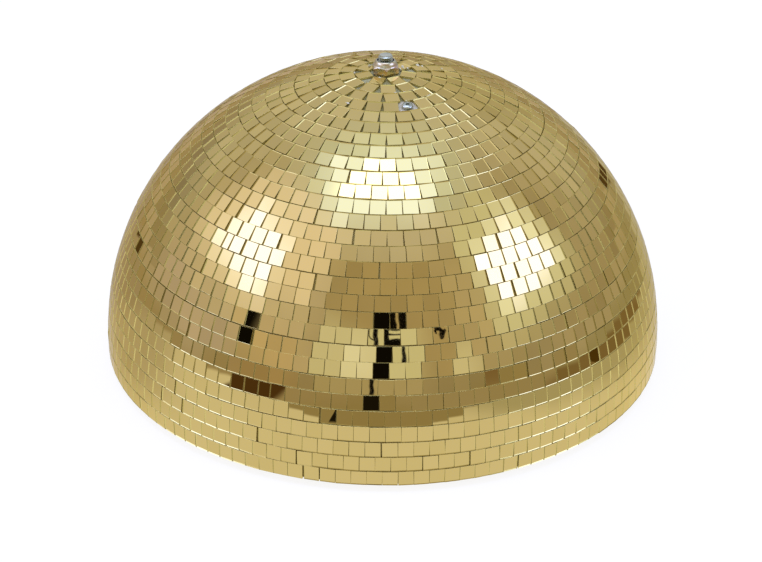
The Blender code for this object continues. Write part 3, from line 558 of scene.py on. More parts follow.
class Mosaic:
    """Tiles gathered into one mesh, with the attributes the mirror material reads."""

    def __init__(self):
        self.points, self.faces, self.slots = [], [], []
        self.attributes = {key: [] for key in ("t_east", "t_up", "t_dx", "t_dy", "t_rand")}

    def tile(self, centre, axes, corners, chance, bevel, shear):
        """corners: the front face's (x, y) round centre, anticlockwise from the lower left."""
        east, up, normal = axes
        middle_x, middle_y = (sum(values) / 4 for values in zip(*corners))
        front = []
        for x, y in corners:
            distance = hypot(x - middle_x, y - middle_y)
            front.append((
                x - (x - middle_x) / distance * bevel * 1.4,
                y - (y - middle_y) / distance * bevel * 1.4,
            ))
        # the snapped edges are never quite square to the face
        back = [(x + shear, y - shear * 0.6) for x, y in corners]

        def to_side(x, y, start):
            """Distance to the side that begins at a corner."""
            (from_x, from_y), (to_x, to_y) = corners[start], corners[(start + 1) % 4]
            run, rise = to_x - from_x, to_y - from_y
            return ((y - from_y) * run - (x - from_x) * rise) / hypot(run, rise)

        first = len(self.points)
        for outline, height in ((back, -GLASS), (corners, -bevel), (front, 0.0)):
            for x, y in outline:
                self.points.append((centre + east * x + up * y + normal * height) * MM)
                values = (
                    east,
                    up,
                    (to_side(x, y, 3), to_side(x, y, 1), 0),      # left and right
                    (to_side(x, y, 0), to_side(x, y, 2), 0),      # lower and upper
                    chance,
                )
                for stored, value in zip(self.attributes.values(), values):
                    stored.append(tuple(value))
        self.faces.append((first + 3, first + 2, first + 1, first))
        for k in range(4):
            j = (k + 1) % 4
            for low in (first, first + 4):
                self.faces.append((low + k, low + j, low + 4 + j, low + 4 + k))
        self.faces.append(tuple(range(first + 8, first + 12)))
        self.slots += [1] * 9 + [0]           # cut glass, and the mirror face last

    def mesh(self, name):
        mesh = bpy.data.meshes.new(name)
        mesh.from_pydata(self.points, [], self.faces)
        for key, values in self.attributes.items():
            attribute = mesh.attributes.new(key, "FLOAT_VECTOR", "POINT")
            attribute.data.foreach_set("vector", np.array(values, np.float32).ravel())
        mesh.polygons.foreach_set("material_index", self.slots)
        mesh.update()
        return mesh


def clamp(value, limit):
    return max(-limit, min(limit, value))


def gauss(spread, limit=2.6):
    return clamp(rng.gauss(0.0, 1.0), limit) * spread


def apart(azimuth, other=0.0):
    return abs((azimuth - other + pi) % tau - pi)


def split_row(length, joint):
    """Widths and joints that fill a closed row: full tiles, one cut tile where the row doesn't
    divide, and now and then a wide joint."""
    count = floor(length / (TILE + joint))
    spare = length - count * (TILE + joint)
    widths = [TILE] * count
    if spare > 4.6:
        widths.insert(rng.randrange(count), spare - joint)
        spare = 0.0
    weights = [
        rng.uniform(0.3, 1.0) + (5.0 * rng.random() if rng.random() < 0.07 else 0.0)
        for _ in widths
    ]
    share = (joint * len(widths) + spare) / sum(weights)
    return widths, [max(0.07, weight * share) for weight in weights]


def row_layout(row, length):
    """Widths and joints of a row; near the pole every tile is trimmed."""
    if row > 4:
        return split_row(length, joint=0.12 if row < 9 else 0.20)
    if row == 2:
        length = tau * POLE_RADIUS
        widths = POLE_TILES
    else:
        widths = [TILE - 0.25 * rng.random() for _ in range(floor(length / 10.02))]
    weights = [rng.uniform(0.2, 1.0) for _ in widths]
    spare = max(length - sum(widths), 0.4)
    return widths, [weight * spare / sum(weights) for weight in weights]


def lay_row(mosaic, row):
    """Lays one row by hand: it wanders, and each tile twists and tilts a little."""
    polar = (row - 0.5) * ROW_STEP
    ring_radius = MIRROR_RADIUS * sin(radians(polar))
    early = row <= 12
    wander_once, wander_thrice = gauss(0.10), gauss(0.07)
    phase_once, phase_thrice = rng.uniform(0, tau), rng.uniform(0, tau)
    start = rng.uniform(0, tau)
    # square tiles meet at their upper corners, so the joints between them open downwards
    length = tau * (MIRROR_RADIUS * sin(radians(polar - UPPER_CORNER)))
    widths, joints = row_layout(row, length)
    scale = tau / (sum(widths) + sum(joints))         # radians per mm along the row
    along = start / scale
    # tiles come in sheets, and each sheet leans its own way
    sheet_tilt = (gauss(0.16), gauss(0.16))
    sheet_left = rng.randint(4, 9)
    if row in FIRST_JOINT:
        along = radians(FIRST_JOINT[row]) / scale
    if row == 5:
        # one place in this row is the hub screw's
        along = SCREW_AZIMUTH / scale - widths[0] / 2

    for width, joint in zip(widths, joints):
        azimuth = (along + width / 2) * scale
        along += width + joint
        sheet_left -= 1
        if sheet_left <= 0:
            sheet_tilt = (gauss(0.22), gauss(0.22))
            sheet_left = rng.randint(3, 9)
        screw_gap = apart(azimuth, SCREW_AZIMUTH) * ring_radius
        if abs(polar - SCREW_POLAR) < 1.6 and screw_gap < width * 0.5 + 0.6:
            continue
        wander = (
            wander_once * sin(azimuth + phase_once)
            + wander_thrice * sin(3 * azimuth + phase_thrice)
            + gauss(0.10 if early else 0.06)
        )
        if row == ROWS:
            wander = max(wander, 0.0)             # the last row never hangs below the rim
        normal = outward(polar + degrees(-wander / MIRROR_RADIUS), azimuth)
        east = Vector((cos(azimuth), sin(azimuth), 0.0))
        up = normal.cross(east)

        # tilts about east and up, and the twist in the plane, in degrees
        spread = 0.40 if row > 6 else 0.85
        tilt_east, tilt_up = gauss(spread) + sheet_tilt[0], gauss(spread) + sheet_tilt[1]
        if rng.random() < 0.035:
            tilt_east += gauss(1.2, 1.8)
            tilt_up += gauss(1.2, 1.8)
        if row in FIRST_JOINT and apart(azimuth) < radians(34):
            # these rows lie flatter towards the camera
            steady = 0.04 if apart(azimuth) < radians(7) else 0.25
            tilt_east *= steady
            tilt_up *= steady
        twist = gauss(2.2 if row <= 4 else 1.3 if early else 0.6, 1.8)
        turn = (
            Matrix.Rotation(radians(twist), 3, normal)
            @ Matrix.Rotation(radians(clamp(tilt_east, MAX_TILT)), 3, east)
            @ Matrix.Rotation(radians(clamp(tilt_up, MAX_TILT)), 3, up)
        )
        half_height = TILE_HALF_HEIGHT + gauss(0.03)
        corners = [
            (side_x * (width / 2) + gauss(0.045), side_y * half_height + gauss(0.045))
            for side_x, side_y in ((-1, -1), (1, -1), (1, 1), (-1, 1))
        ]
        mosaic.tile(
            BALL_CENTRE + normal * TILE_RADIUS,
            (turn @ east, turn @ up, turn @ normal),
            corners,
            chance=(rng.random(), rng.random(), rng.random()),
            bevel=rng.uniform(0.05, 0.10),
            shear=gauss(0.035),
        )


for band, rows in enumerate(zip(BAND_ROWS, BAND_ROWS[1:]), start=1):
    mosaic = Mosaic()
    for row in range(*rows):
        lay_row(mosaic, row)
    node = f"mirror_band_{band:02d}"
    add(f"mirror_tiles_{band:02d}", mosaic.mesh(node), node, "gold_mirror", "gold_mirror", "cut_glass")

# ------------------------------------------------------------ shell
SHELL_HOLE = 5.5                          # radius at the pole
ARC_STEPS = 60


def at_screw(radius):
    """The frame on the hub screw's axis, at a distance from the ball's centre."""
    normal = outward(SCREW_POLAR, SCREW_AZIMUTH)
    east = Vector((cos(SCREW_AZIMUTH), sin(SCREW_AZIMUTH), 0))
    turn = Matrix((east, normal.cross(east), normal)).transposed().to_4x4()
    return Matrix.Translation((normal * radius + BALL_CENTRE) * MM) @ turn


def shell_arc(radius):
    """Quarter arc of (radius, height), from the pole hole to the equator."""
    start = atan2(SHELL_HOLE, radius)
    angles = [start + (pi / 2 - start) * i / ARC_STEPS for i in range(ARC_STEPS + 1)]
    return [(radius * sin(angle), BALL_Z + radius * cos(angle)) for angle in angles]


def shell_mesh():
    """Dome with a lip turned inwards at the rim, drilled for the hub screw."""
    lip = [
        (SHELL_RADIUS, RIM_Z + 0.6), (SHELL_RADIUS - 0.6, RIM_Z),
        (188.6, RIM_Z), (188.0, RIM_Z + 0.6), (188.0, RIM_Z + 2.5), (188.5, RIM_Z + 3.0),
        (SHELL_INSIDE - 0.4, RIM_Z + 3.0),
    ]
    profile = shell_arc(SHELL_RADIUS) + lip + shell_arc(SHELL_INSIDE)[::-1]
    drill = cylinder_mesh(radius=2.25, bottom=-8, top=6, steps=24)
    mesh = revolve("dome_shell_fine", profile, steps=216)
    mesh = cut(mesh, [(drill, at_screw(SHELL_RADIUS))])
    smooth(mesh, 40)
    return mesh


add("dome_shell_fine", shell_mesh(), "dome_shell", "shell_plastic", "shell_plastic")

# ------------------------------------------------------------ pole hardware
NUT_APOTHEM = 17.0 / 2                    # half the width across flats
NUT_STEPS = 120
NUT_CORNER = radians(84.0)                # turns one corner almost to -Y
NUT_UNCUT = NUT_APOTHEM / cos(pi / 6) + 0.2       # just clear of the corners
# height above the nut's base, radius the hexagon's corners are turned back to
NUT_HEXAGON = (
    (0.0, 8.2), (0.12, 8.45), (0.3, 8.75), (0.6, 9.2), (0.9, 9.65),
    (1.2, NUT_UNCUT), (3.0, NUT_UNCUT), (4.6, NUT_UNCUT),
    (5.2, 9.75), (5.6, 9.45), (6.0, 9.1), (6.4, 8.72), (6.7, 8.35),
)
# height above the nut's base, radius: up the collar, over its lip and down the bore
NUT_COLLAR = (
    (6.95, 8.12), (7.3, 8.02), (7.7, 7.9), (8.2, 7.72), (8.7, 7.48), (9.1, 7.22), (9.45, 6.94),
    (9.72, 6.66), (9.9, 6.4), (9.98, 6.22), (9.98, 6.05), (9.88, 5.92), (9.5, 5.88), (9.2, 6.25),
    (7.1, 6.3), (7.0, 6.2), (7.0, 5.6), (6.8, 5.35), (0.7, 5.35), (0.1, 5.9), (0.0, 6.1),
)
# (radius, height) of the nylon ring held by the collar
INSERT_PROFILE = [
    (5.2, NUT_Z + 7.3), (6.05, NUT_Z + 7.3), (6.05, NUT_Z + 9.05), (5.2, NUT_Z + 9.05),
]


def hexagon_ring(z, limit):
    points = []
    for k in range(NUT_STEPS):
        angle = tau * k / NUT_STEPS
        off_corner = abs((angle + NUT_CORNER + pi / 6) % (pi / 3) - pi / 6)
        radius = min(NUT_APOTHEM / cos(pi / 6 - off_corner), limit)
        points.append((radius * cos(angle), radius * sin(angle), z))
    return points


def lock_nut_mesh():
    """Hexagon with its corners turned back above and below, and the collar of the nylon ring."""
    rings = [hexagon_ring(NUT_Z + z, limit) for z, limit in NUT_HEXAGON]
    rings += [circle(radius, NUT_Z + z, NUT_STEPS) for z, radius in NUT_COLLAR]
    mesh = grid_mesh("lock_nut_fine", rings, closed=True)
    smooth(mesh, 28)
    return mesh


def insert_mesh():
    mesh = revolve("lock_nut_insert_fine", rounded(INSERT_PROFILE, radius=0.25), steps=96)
    smooth(mesh, 40)
    return mesh


ROD_RADIUS, ROD_PITCH, ROD_CHAMFER = 5.0, 1.5, 0.9
ROD_STEPS = 48


def close_rod_end(work, end, way):
    """Fans the open rim at a height to a hub; way is -1 at the bottom, 1 at the top."""
    rim = [
        vert for vert in work.verts
        if abs(vert.co.z - end * MM) < 2e-6
        and any(len(edge.link_faces) == 1 for edge in vert.link_edges)
    ]
    rim.sort(key=lambda vert: atan2(vert.co.y, vert.co.x) * way)
    hub = work.verts.new((0.0, 0.0, (end + 0.06 * way) * MM))
    for first, second in zip(rim, rim[1:] + rim[:1]):
        work.faces.new((hub, first, second))


def threaded_rod_mesh():
    """The thread profile follows the helix, and both ends are chamfered."""
    core, crest = ROD_RADIUS - 0.61 * ROD_PITCH, ROD_RADIUS - 0.02
    # place along one pitch (0 to 1), radius
    section = ((0.0, core), (0.10, core), (0.46, crest), (0.60, crest), (0.96, core))
    turns = int(ceil((ROD_TOP - ROD_BOTTOM) / ROD_PITCH)) + 2
    end_radius = ROD_RADIUS - ROD_CHAMFER
    points = []
    for i in range(-1, turns):
        for place, radius in section:
            for k in range(ROD_STEPS):
                z = ROD_BOTTOM + (i + place + k / ROD_STEPS) * ROD_PITCH
                z = max(ROD_BOTTOM, min(ROD_TOP, z))
                cut_radius = min(
                    radius, ROD_RADIUS, end_radius + (z - ROD_BOTTOM), end_radius + (ROD_TOP - z)
                )
                angle = tau * k / ROD_STEPS
                points.append((cut_radius * cos(angle), cut_radius * sin(angle), z))
    # the helix advances one pitch a turn, so the last column joins the next turn's first
    size, per_turn = ROD_STEPS, len(section)
    count = len(points) // size
    faces = []
    for i in range(count - 1):
        low, high = i * size, (i + 1) * size
        for k in range(size - 1):
            faces.append((low + k, low + k + 1, high + k + 1, high + k))
        if i + 1 + per_turn < count:
            turn = per_turn * size
            faces.append((low + size - 1, low + turn, high + turn, high + size - 1))
    mesh = mesh_from("drive_rod_threaded", points, faces)
    work = bmesh.new()
    work.from_mesh(mesh)
    bmesh.ops.remove_doubles(work, verts=work.verts, dist=2e-6)
    bmesh.ops.dissolve_degenerate(work, dist=2e-6, edges=work.edges)
    loose = [vert for vert in work.verts if not vert.link_faces]
    bmesh.ops.delete(work, geom=loose, context="VERTS")
    close_rod_end(work, ROD_BOTTOM, -1)
    close_rod_end(work, ROD_TOP, 1)
    bmesh.ops.recalc_face_normals(work, faces=work.faces)
    work.to_mesh(mesh)
    work.free()
    smooth(mesh, 24)
    return mesh


HEAD_WIDTH, HEAD_HEIGHT = 7.5, 2.6
SHANK_RADIUS, SCREW_LENGTH, SCREW_PITCH = 3.9 / 2, 9.5, 0.9


def hub_screw_mesh():
    """A pan head screw with a cross recess, made at the origin and moved to its place."""
    radius = HEAD_WIDTH / 2
    profile = [(0.001, HEAD_HEIGHT)]
    for k in range(1, 13):
        angle = radians(90 * k / 12)
        profile.append((
            radius * 0.30 + radius * 0.70 * sin(angle),
            HEAD_HEIGHT * 0.42 + HEAD_HEIGHT * 0.58 * cos(angle),
        ))
    profile += [(radius, 0.25), (radius - 0.2, 0.0), (SHANK_RADIUS + 0.1, 0.0)]
    z = -0.2
    while z > -SCREW_LENGTH + SHANK_RADIUS:
        profile += [(SHANK_RADIUS, z), (SHANK_RADIUS - 0.32, z - SCREW_PITCH * 0.45)]
        z -= SCREW_PITCH
    profile += [(SHANK_RADIUS * 0.5, -SCREW_LENGTH + 0.4), (0.001, -SCREW_LENGTH)]
    mesh = grid_mesh("hub_screw_fine", [circle(*point, 64) for point in profile[::-1]], capped=True)
    # one blade of the recess, tapering downwards: height, half length, half width
    half_width = HEAD_WIDTH * 0.12 / 2
    blade = grid_mesh("blade", [
        [(-half, -side, z), (half, -side, z), (half, side, z), (-half, side, z)]
        for z, half, side in (
            (HEAD_HEIGHT - HEAD_HEIGHT * 0.75, HEAD_WIDTH * 0.13, half_width * 0.7),
            (HEAD_HEIGHT + 0.5, HEAD_WIDTH * 0.30, half_width + 0.05),
        )
    ], capped=True)
    mesh = cut(mesh, [(blade, Matrix.Identity(4)), (blade, Matrix.Rotation(pi / 2, 4, "Z"))])
    smooth(mesh, 30)
    mesh.transform(at_screw(SHELL_RADIUS + 0.3) @ Matrix.Rotation(radians(28), 4, "Z"))
    return mesh


# polar angle, azimuth (degrees), size
GLUE_CRUMBS = [
    (4.2, 126, 1.15), (4.9, 117, 0.85), (4.6, 133, 0.7), (7.8, 125, 1.25),
    (8.5, 121, 0.8), (4.3, -133, 1.1), (14.0, -31, 0.8),
]


def pole_glue_mesh():
    """Crumbs of clear glue squeezed up round the pole: the placed ones and eight at random."""
    scattered = [
        (rng.choice((3.2, 6.1, 9.1, 12.2)), rng.uniform(0, 360), rng.uniform(0.45, 0.9))
        for _ in range(8)
    ]
    work = bmesh.new()
    for polar, azimuth, size in GLUE_CRUMBS + scattered:
        normal = outward(polar, radians(azimuth))
        made = bmesh.ops.create_icosphere(work, subdivisions=3, radius=1.0)["verts"]
        shift = Vector((rng.random(), rng.random(), rng.random())) * 9
        for vert in made:
            x, y, z = vert.co
            lump = 0.28 * sin(3.1 * x + shift.x) * cos(2.7 * y + shift.y)
            vert.co = vert.co * (1.0 + lump + 0.15 * sin(6.0 * z + shift.z))
        place = (
            Matrix.Translation((BALL_CENTRE + normal * (SHELL_RADIUS + 1.5)) * MM)
            @ normal.to_track_quat("Z", "Y").to_matrix().to_4x4()
            @ Matrix.Diagonal((size * 1.5 * MM, size * 0.75 * MM, size * 0.95 * MM, 1.0))
        )
        bmesh.ops.transform(work, matrix=place, verts=made)
    mesh = bpy.data.meshes.new("pole_glue")
    work.to_mesh(mesh)
    work.free()
    smooth(mesh, 80)
    return mesh


add("lock_nut_fine", lock_nut_mesh(), "lock_nut", "zinc_steel", "yellow_zinc")
add("lock_nut_insert_fine", insert_mesh(), "lock_nut_insert", "black_nylon", "black_nylon")
add("drive_rod_threaded", threaded_rod_mesh(), "drive_rod", "zinc_steel", "blue_zinc")
add("hub_screw_fine", hub_screw_mesh(), "hub_screw", "zinc_steel", "blue_zinc")
add("pole_glue", pole_glue_mesh(), None, "shell_plastic", "clear_glue")

# ------------------------------------------------------------ base plate
PLATE_RADIUS = 183.0
# (radius, height): down inside the upturned rim, across the top, the centre hole, the
# underside and up the outside
PLATE_PROFILE = [
    (PLATE_RADIUS - 2.0, 3.4), (PLATE_RADIUS - 2.3, 2.4), (PLATE_RADIUS - 3.4, 2.0),
    (12.3, 2.0), (12.0, 1.7), (12.0, 0.3), (12.3, 0.0),
    (PLATE_RADIUS - 1.2, 0.0), (PLATE_RADIUS - 0.35, 0.35), (PLATE_RADIUS, 1.2),
    (PLATE_RADIUS, 7.0), (PLATE_RADIUS - 0.4, 7.35), (PLATE_RADIUS - 1.6, 7.35),
    (PLATE_RADIUS - 2.0, 7.0),
]
# radius, x, y
PLATE_HOLES = [
    *((3.25, 140 * cos(radians(angle)), 140 * sin(radians(angle))) for angle in (-90, 30, 150)),
    *((2.35, x, y) for x in (-57.5, 57.5) for y in (-14.0, 14.0)),
    (2.35, 44.0, 96.0),
    (8.0, 0.0, 128.0),
]


def base_plate_mesh():
    mesh = revolve("base_plate_fine", PLATE_PROFILE, steps=240)
    mesh = cut(mesh, [
        (cylinder_mesh(radius, -1, 4, steps=40), Matrix.Translation((x * MM, y * MM, 0)))
        for radius, x, y in PLATE_HOLES
    ])
    smooth(mesh, 35)
    return mesh


add("base_plate_fine", base_plate_mesh(), "base_plate", "coated_steel", "coated_steel", body="base")

# ------------------------------------------------------------ finishes on the visible CAD nodes
slot_of = {part["node"]: part["material_slot"] for part in frame["record"]["subparts"]}
for name, obj in frame["nodes"].items():
    if obj.hide_render:
        continue
    obj.data.materials.clear()
    obj.data.materials.append(MATERIALS[slot_of[name]])

# ------------------------------------------------------------ floor (metres, degrees)
DARK_POST = (0.012, 0.010, 0.007)
# dark things on the ground: colour, bearing from and to, distance from and to, edge width (degrees)
GROUND_BLOTS = (
    ((0.095, 0.050, 0.020), -55.5, -36.9, 0.67, 30.0, 0.7),
    ((0.10, 0.065, 0.03), -126.5, -119.5, 0.70, 1.0, 0.7),
    ((0.10, 0.065, 0.03), 142.5, 147.0, 0.74, 3.0, 0.7),
    ((0.095, 0.055, 0.012), 74.5, 77.6, 0.485, 0.58, 0.1),
)


def ground_colour(tree):
    """What the floor shows to reflections: a pale table top, and the room's brown floor."""
    x, y, _ = tree.split(tree.coords())
    ramp, mul, mix, window = tree.ramp, tree.mul, tree.mix, tree.window
    on_table = mul(ramp(x, -0.70, -0.66), ramp(y, 0.75, 0.70))
    on_table = mul(ramp(y, -0.490, -0.478), mul(ramp(x, 0.378, 0.364), on_table))

    room = mix(ramp(x, -0.75, -0.35), (0.44, 0.375, 0.32), (0.385, 0.33, 0.245))
    room = mix(ramp(x, 0.2, 0.5), room, (0.44, 0.385, 0.335))
    beyond = tree.maximum(ramp(x, 0.62, 0.67), ramp(y, 0.09, 0.15))
    right_side = mix(beyond, (0.265, 0.197, 0.122), (0.41, 0.39, 0.34))
    right_side = mix(ramp(x, 0.75, 1.15), right_side, (0.53, 0.49, 0.50))
    room = mix(mul(ramp(x, 0.35, 0.36), ramp(y, -0.36, -0.30)), room, right_side)

    bearing, distance = tree.bearing(x, y), tree.radius(x, y)
    table = mix(ramp(distance, 0.2, 0.65), (0.90, 0.89, 0.96), (0.84, 0.82, 0.88))
    table = mix(ramp(y, -0.12, 0.16), table, (0.51, 0.48, 0.47))
    table = mix(ramp(x, 0.20, 0.32), table, (0.54, 0.53, 0.50))
    left = mul(ramp(x, -0.14, -0.24), ramp(y, -0.20, -0.06))
    table = mix(left, table, (0.58, 0.54, 0.56))
    far_left = mul(ramp(x, -0.18, -0.26), ramp(y, 0.0, 0.10))
    table = mix(far_left, table, (0.44, 0.39, 0.41))

    post = mul(
        window(bearing, (-16.47, -16.40), (-13.0, -13.3)),
        window(distance, (0.53, 0.55), (0.66, 0.64)),
    )
    foot = mul(window(bearing, (-6.3, -6.1), (-1.3, -1.5)), ramp(distance, 1.3, 1.4))
    room = mix(tree.maximum(post, foot), room, DARK_POST)
    ground = mix(on_table, room, table)
    pale_left = mul(ramp(bearing, -66, -76), ramp(distance, 0.9, 1.5))
    ground = mix(pale_left, ground, (0.55, 0.50, 0.56))
    for colour, left, right, near, far, edge in GROUND_BLOTS:
        mask = mul(tree.band(bearing, left, right, edge / 2), tree.band(distance, near, far, 0.01))
        ground = mix(mask, ground, colour)
    return ground


def floor_material():
    """Near white to the camera; other rays see the painted ground."""
    tree = material_tree("studio_floor")
    seen = tree.socket("Emission", {"Color": ground_colour(tree)})
    diffuse = tree.socket("BsdfDiffuse", {"Color": (0.20, 0.196, 0.185)})
    lift = tree.socket("Emission", {"Color": (0.83, 0.83, 0.825)})
    pale = tree.socket("AddShader", {0: diffuse, 1: lift})
    is_camera = tree.socket("LightPath", output="Is Camera Ray")
    surface = tree.socket("MixShader", {0: is_camera, 1: seen, 2: pale})
    tree.node("OutputMaterial", {"Surface": surface})
    return tree.owner


mesh = bpy.data.meshes.new("studio_floor")
mesh.from_pydata([(-12, -12, 0), (12, -12, 0), (12, 12, 0), (-12, 12, 0)], [], [(0, 1, 2, 3)])
floor_obj = bpy.data.objects.new("studio_floor", mesh)
scene.collection.objects.link(floor_obj)
floor_obj.location.z = -0.0004
mesh.materials.append(floor_material())

# ------------------------------------------------------------ studio, all painted in the sky
# Patches, each laid over the last: colour, azimuth from and to, elevation from and to, softness,
# softness in elevation where it differs, lean (azimuth per degree of elevation). Degrees.
WALLS = (
    ((0.76, 0.71, 0.82), -112, -32, -20, 90, 14),                # left wall
    ((0.56, 0.55, 0.57), 148, 172, 2, 38, 7, 5),
    ((0.35, 0.325, 0.37), -158, -128, -20, 15, 7),               # its dark far corner
    ((0.53, 0.455, 0.385), -26, 34, -20, 66, 9),                 # front wall, behind the camera
    ((0.64, 0.575, 0.55), 34, 66, 12, 62, 7),
    ((0.74, 0.67, 0.66), -44, -28, 47, 60, 5),
    ((0.69, 0.585, 0.54), -66, -34, -4, 20, 6),
)
CEILING = (((0.79, 0.78, 0.96), -42, 62, 56, 71, 12, 4),)
HORIZON = (
    ((0.48, 0.375, 0.29), -64, -30, -20, 4, 6, 2),
    ((0.39, 0.335, 0.245), -28, 60, -20, 3, 4, 2),
    ((0.50, 0.455, 0.45), 66, 92, -8, 8, 6, 2),
    ((0.64, 0.58, 0.74), -114, -63, -2, 12, 6, 3),
)
LIGHTS = (
    # left soft box, last, over its halo on the wall
    ((1.18, 1.15, 1.60), -92, -38, 46, 64, 12, 8),
    ((1.08, 1.02, 1.28), -62, -34, 33, 60, 5, 4),
    ((1.12, 1.08, 1.42), -112, -58, 22, 56, 8, 5),
    ((1.45, 1.50, 2.3), -99, -57, 25, 51, 4, 4),
    ((1.95, 2.25, 4.8), -97, -60, 28.5, 47.5, 2.2, 2.2),
    # right soft box, last, over its halo
    ((0.84, 0.90, 0.98), 50, 100, 13, 60, 7, 6),
    ((1.24, 1.40, 1.95), 54, 98, 22, 49, 5, 5),
    ((2.1, 2.4, 5.2), 57, 91, 23.5, 45.5, 1.8, 1.8, -0.25),
    # lit panel beside the camera
    ((0.82, 0.84, 0.92), -28, -8, 8, 30, 1.5),
    ((0.56, 0.51, 0.47), -28, 18, 3, 9, 1.5),
    ((1.03, 1.10, 1.38), -16, -4, 10, 24, 3.5, 2.5),
    ((0.84, 0.88, 0.94), -4, 18, 8, 28, 1.5),
    ((0.84, 0.85, 0.92), 28, 38, 8, 17, 1.2),
)
BLACK = (0.006, 0.005, 0.004)
STAND_RODS = (
    (BLACK, 6.55, 6.93, 29, 34, 0.02),
    (BLACK, 7.02, 7.45, 29, 34, 0.02),
    (BLACK, -2.94, -2.80, 24, 25.6, 0.02),
    (BLACK, 3.90, 4.17, 24, 25.6, 0.02),
    (BLACK, 7.57, 7.69, 16, 22.3, 0.02),
    (BLACK, 4.1, 4.7, 25.045, 25.4, 0.02),
    (BLACK, 4.1, 4.7, 24.885, 24.945, 0.02),
    (BLACK, 4.1, 4.7, 24.3, 24.76, 0.02),
)
CAMERA_STAND = (
    (BLACK, -3.4, 2.8, 28.0, 36, 0.3),
    (BLACK, -2.2, 3.2, 9.6, 22.3, 0.3),
    (BLACK, -4.63, -4.49, 4, 9.6, 0.02, None, 0.06),
    (BLACK, -6.2, -1.2, -3.5, 3.6, 0.3),
)
# something with arms on a shelf, as dark spots: azimuth, elevation, radius
SHELF_SPOTS = (
    (24.92, 24.02, 0.11), (25.00, 24.01, 0.10), (24.85, 23.93, 0.055),
    (24.86, 23.87, 0.05), (25.06, 23.91, 0.095), (25.065, 23.80, 0.135),
    (25.05, 23.72, 0.10), (25.15, 23.86, 0.085), (25.21, 23.89, 0.06),
)
DARK_SHAPES = (
    (BLACK, -62.5, -57, 10.5, 21.5, 0.5),
    ((0.27, 0.19, 0.12), 42.5, 48.5, 2.2, 7.2, 0.8),
    ((0.09, 0.06, 0.03), -139, -128, -9, -4, 1.5),
)


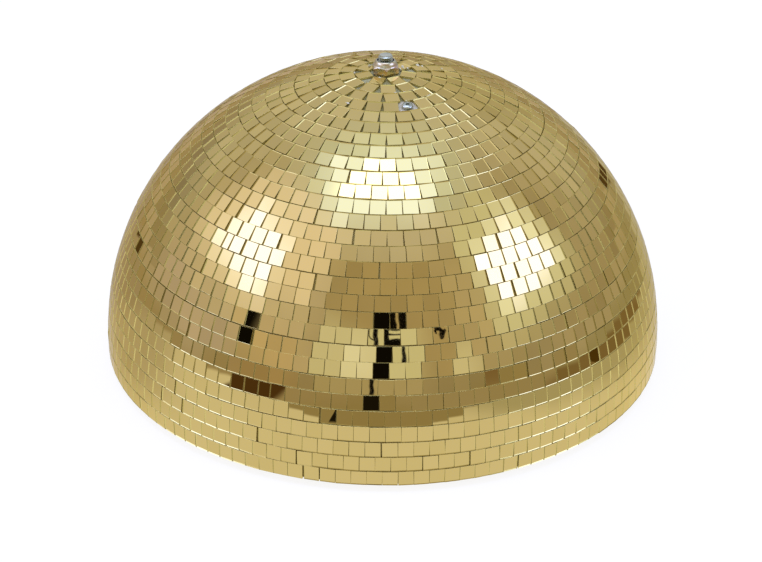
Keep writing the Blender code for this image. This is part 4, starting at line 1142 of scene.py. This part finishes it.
def sky_colour(tree):
    direction = tree.vector("NORMALIZE", tree.coords("Generated"))
    x, y, z = tree.split(direction)
    azimuth = tree.bearing(x, y)
    elevation = tree.mul(tree.math("ARCSINE", z), 180 / pi)

    def lay(under, patches):
        for colour, left, right, low, high, soft, *more in patches:
            soft_up, lean = (*more, None, 0.0)[:2] if len(more) < 2 else more
            across = azimuth
            if lean:
                offset = tree.mul(tree.sub(elevation, (low + high) / 2), lean)
                across = tree.sub(azimuth, offset)
            mask = tree.mul(
                tree.band(across, left, right, soft),
                tree.band(elevation, low, high, soft if soft_up is None else soft_up),
            )
            under = tree.mix(mask, under, colour)
        return under

    def hoop(under, centre, radius, width, stop=90.0):
        """A thin dark hoop left of azimuth stop; with radius 0, a spot."""
        off_x, off_y = tree.sub(azimuth, centre[0]), tree.sub(elevation, centre[1])
        off_line = tree.math("ABSOLUTE", tree.sub(tree.radius(off_x, off_y), radius))
        line = tree.ramp(off_line, width, width * 0.6)
        return tree.mix(tree.mul(line, tree.math("LESS_THAN", azimuth, stop)), under, BLACK)

    def overhead(under, mask_x, mask_y, colour):
        mask = tree.mul(tree.mul(mask_x, mask_y), tree.math("GREATER_THAN", z, 0.0))
        return tree.mix(mask, under, colour)

    # right wall, and the rear beyond it
    rear = tree.mix(tree.ramp(elevation, 16, 4), (0.70, 0.715, 0.88), (0.45, 0.44, 0.50))
    rearward = tree.ramp(tree.math("ABSOLUTE", azimuth), 100, 150)
    sky = lay(tree.mix(rearward, (0.50, 0.455, 0.44), rear), WALLS)
    sky = lay(tree.mix(tree.ramp(elevation, 50, 76), sky, (0.95, 1.14, 1.62)), CEILING)
    sky = lay(tree.mix(tree.ramp(elevation, 9.0, 2.0), sky, (0.43, 0.385, 0.36)), HORIZON)
    uneven = tree.ramp(tree.noise(direction, 9.0, detail=2.0), 0.36, 0.64, to=(0.92, 1.08))
    sky = lay(tree.vector("SCALE", sky, scale=uneven), LIGHTS)
    sky = lay(sky, STAND_RODS)
    sky = hoop(sky, centre=(-2.82, 25.01), radius=0.27, width=0.026, stop=-2.82)
    sky = lay(sky, CAMERA_STAND)
    for *centre, width in SHELF_SPOTS:
        sky = hoop(sky, centre, 0.0, width)
    sky = lay(sky, DARK_SHAPES)

    # overhead soft box, narrowing away from the camera, over its glow
    glow_x = tree.ramp(tree.math("ABSOLUTE", tree.add(x, 0.02)), 0.39, 0.25)
    glow_y = tree.window(y, (-0.34, -0.22), (0.30, 0.16))
    sky = overhead(sky, glow_x, glow_y, (1.40, 1.74, 3.1))
    away = tree.maximum(tree.add(y, 0.09), 0.0)
    half_width = tree.sub(0.258, tree.mul(tree.mul(away, away), 4.0))
    off_middle = tree.math("ABSOLUTE", tree.add(x, 0.048))
    box_x = tree.ramp(tree.sub(off_middle, half_width), 0.022, -0.012)
    box_y = tree.window(y, (-0.160, -0.125), (0.17, 0.15))
    return overhead(sky, box_x, box_y, (3.4, 3.7, 5.4))


scene.world = bpy.data.worlds.new("studio")
tree = Tree(scene.world)
sky = tree.socket("Background", {"Color": sky_colour(tree)})
backdrop = tree.socket("Background", {"Color": (1, 1, 1)})
is_camera = tree.socket("LightPath", output="Is Camera Ray")
surface = tree.socket("MixShader", {0: is_camera, 1: sky, 2: backdrop})
tree.node("OutputWorld", {"Surface": surface})

# ------------------------------------------------------------ camera (radians, metres)
CAMERA_ELEVATION, CAMERA_ROLL, CAMERA_DISTANCE = 0.526, 0.011, 1.375
AIM_LEFT, AIM_UP = 0.00090, 0.02300       # slopes off the line to the ball's centre

back = Vector((0, -cos(CAMERA_ELEVATION), sin(CAMERA_ELEVATION)))
right = Vector((1, 0, 0))
up = right.cross(-back)
rolled_right = right * cos(CAMERA_ROLL) + up * sin(CAMERA_ROLL)
rolled_up = up * cos(CAMERA_ROLL) - right * sin(CAMERA_ROLL)
look = (-back - rolled_right * AIM_LEFT + rolled_up * AIM_UP).normalized()
camera_x = (rolled_right - look * rolled_right.dot(look)).normalized()
camera_y = (-look).cross(camera_x)
camera = bpy.data.objects.new("camera", bpy.data.cameras.new("camera"))
scene.collection.objects.link(camera)
camera.data.lens = 88.27
camera.data.sensor_width = 36.0
camera.matrix_world = (
    Matrix.Translation(Vector((0, 0, BALL_Z * MM)) + back * CAMERA_DISTANCE)
    @ Matrix((camera_x, camera_y, -look)).transposed().to_4x4()
)
scene.camera = camera
scene.view_settings.view_transform = "Standard"
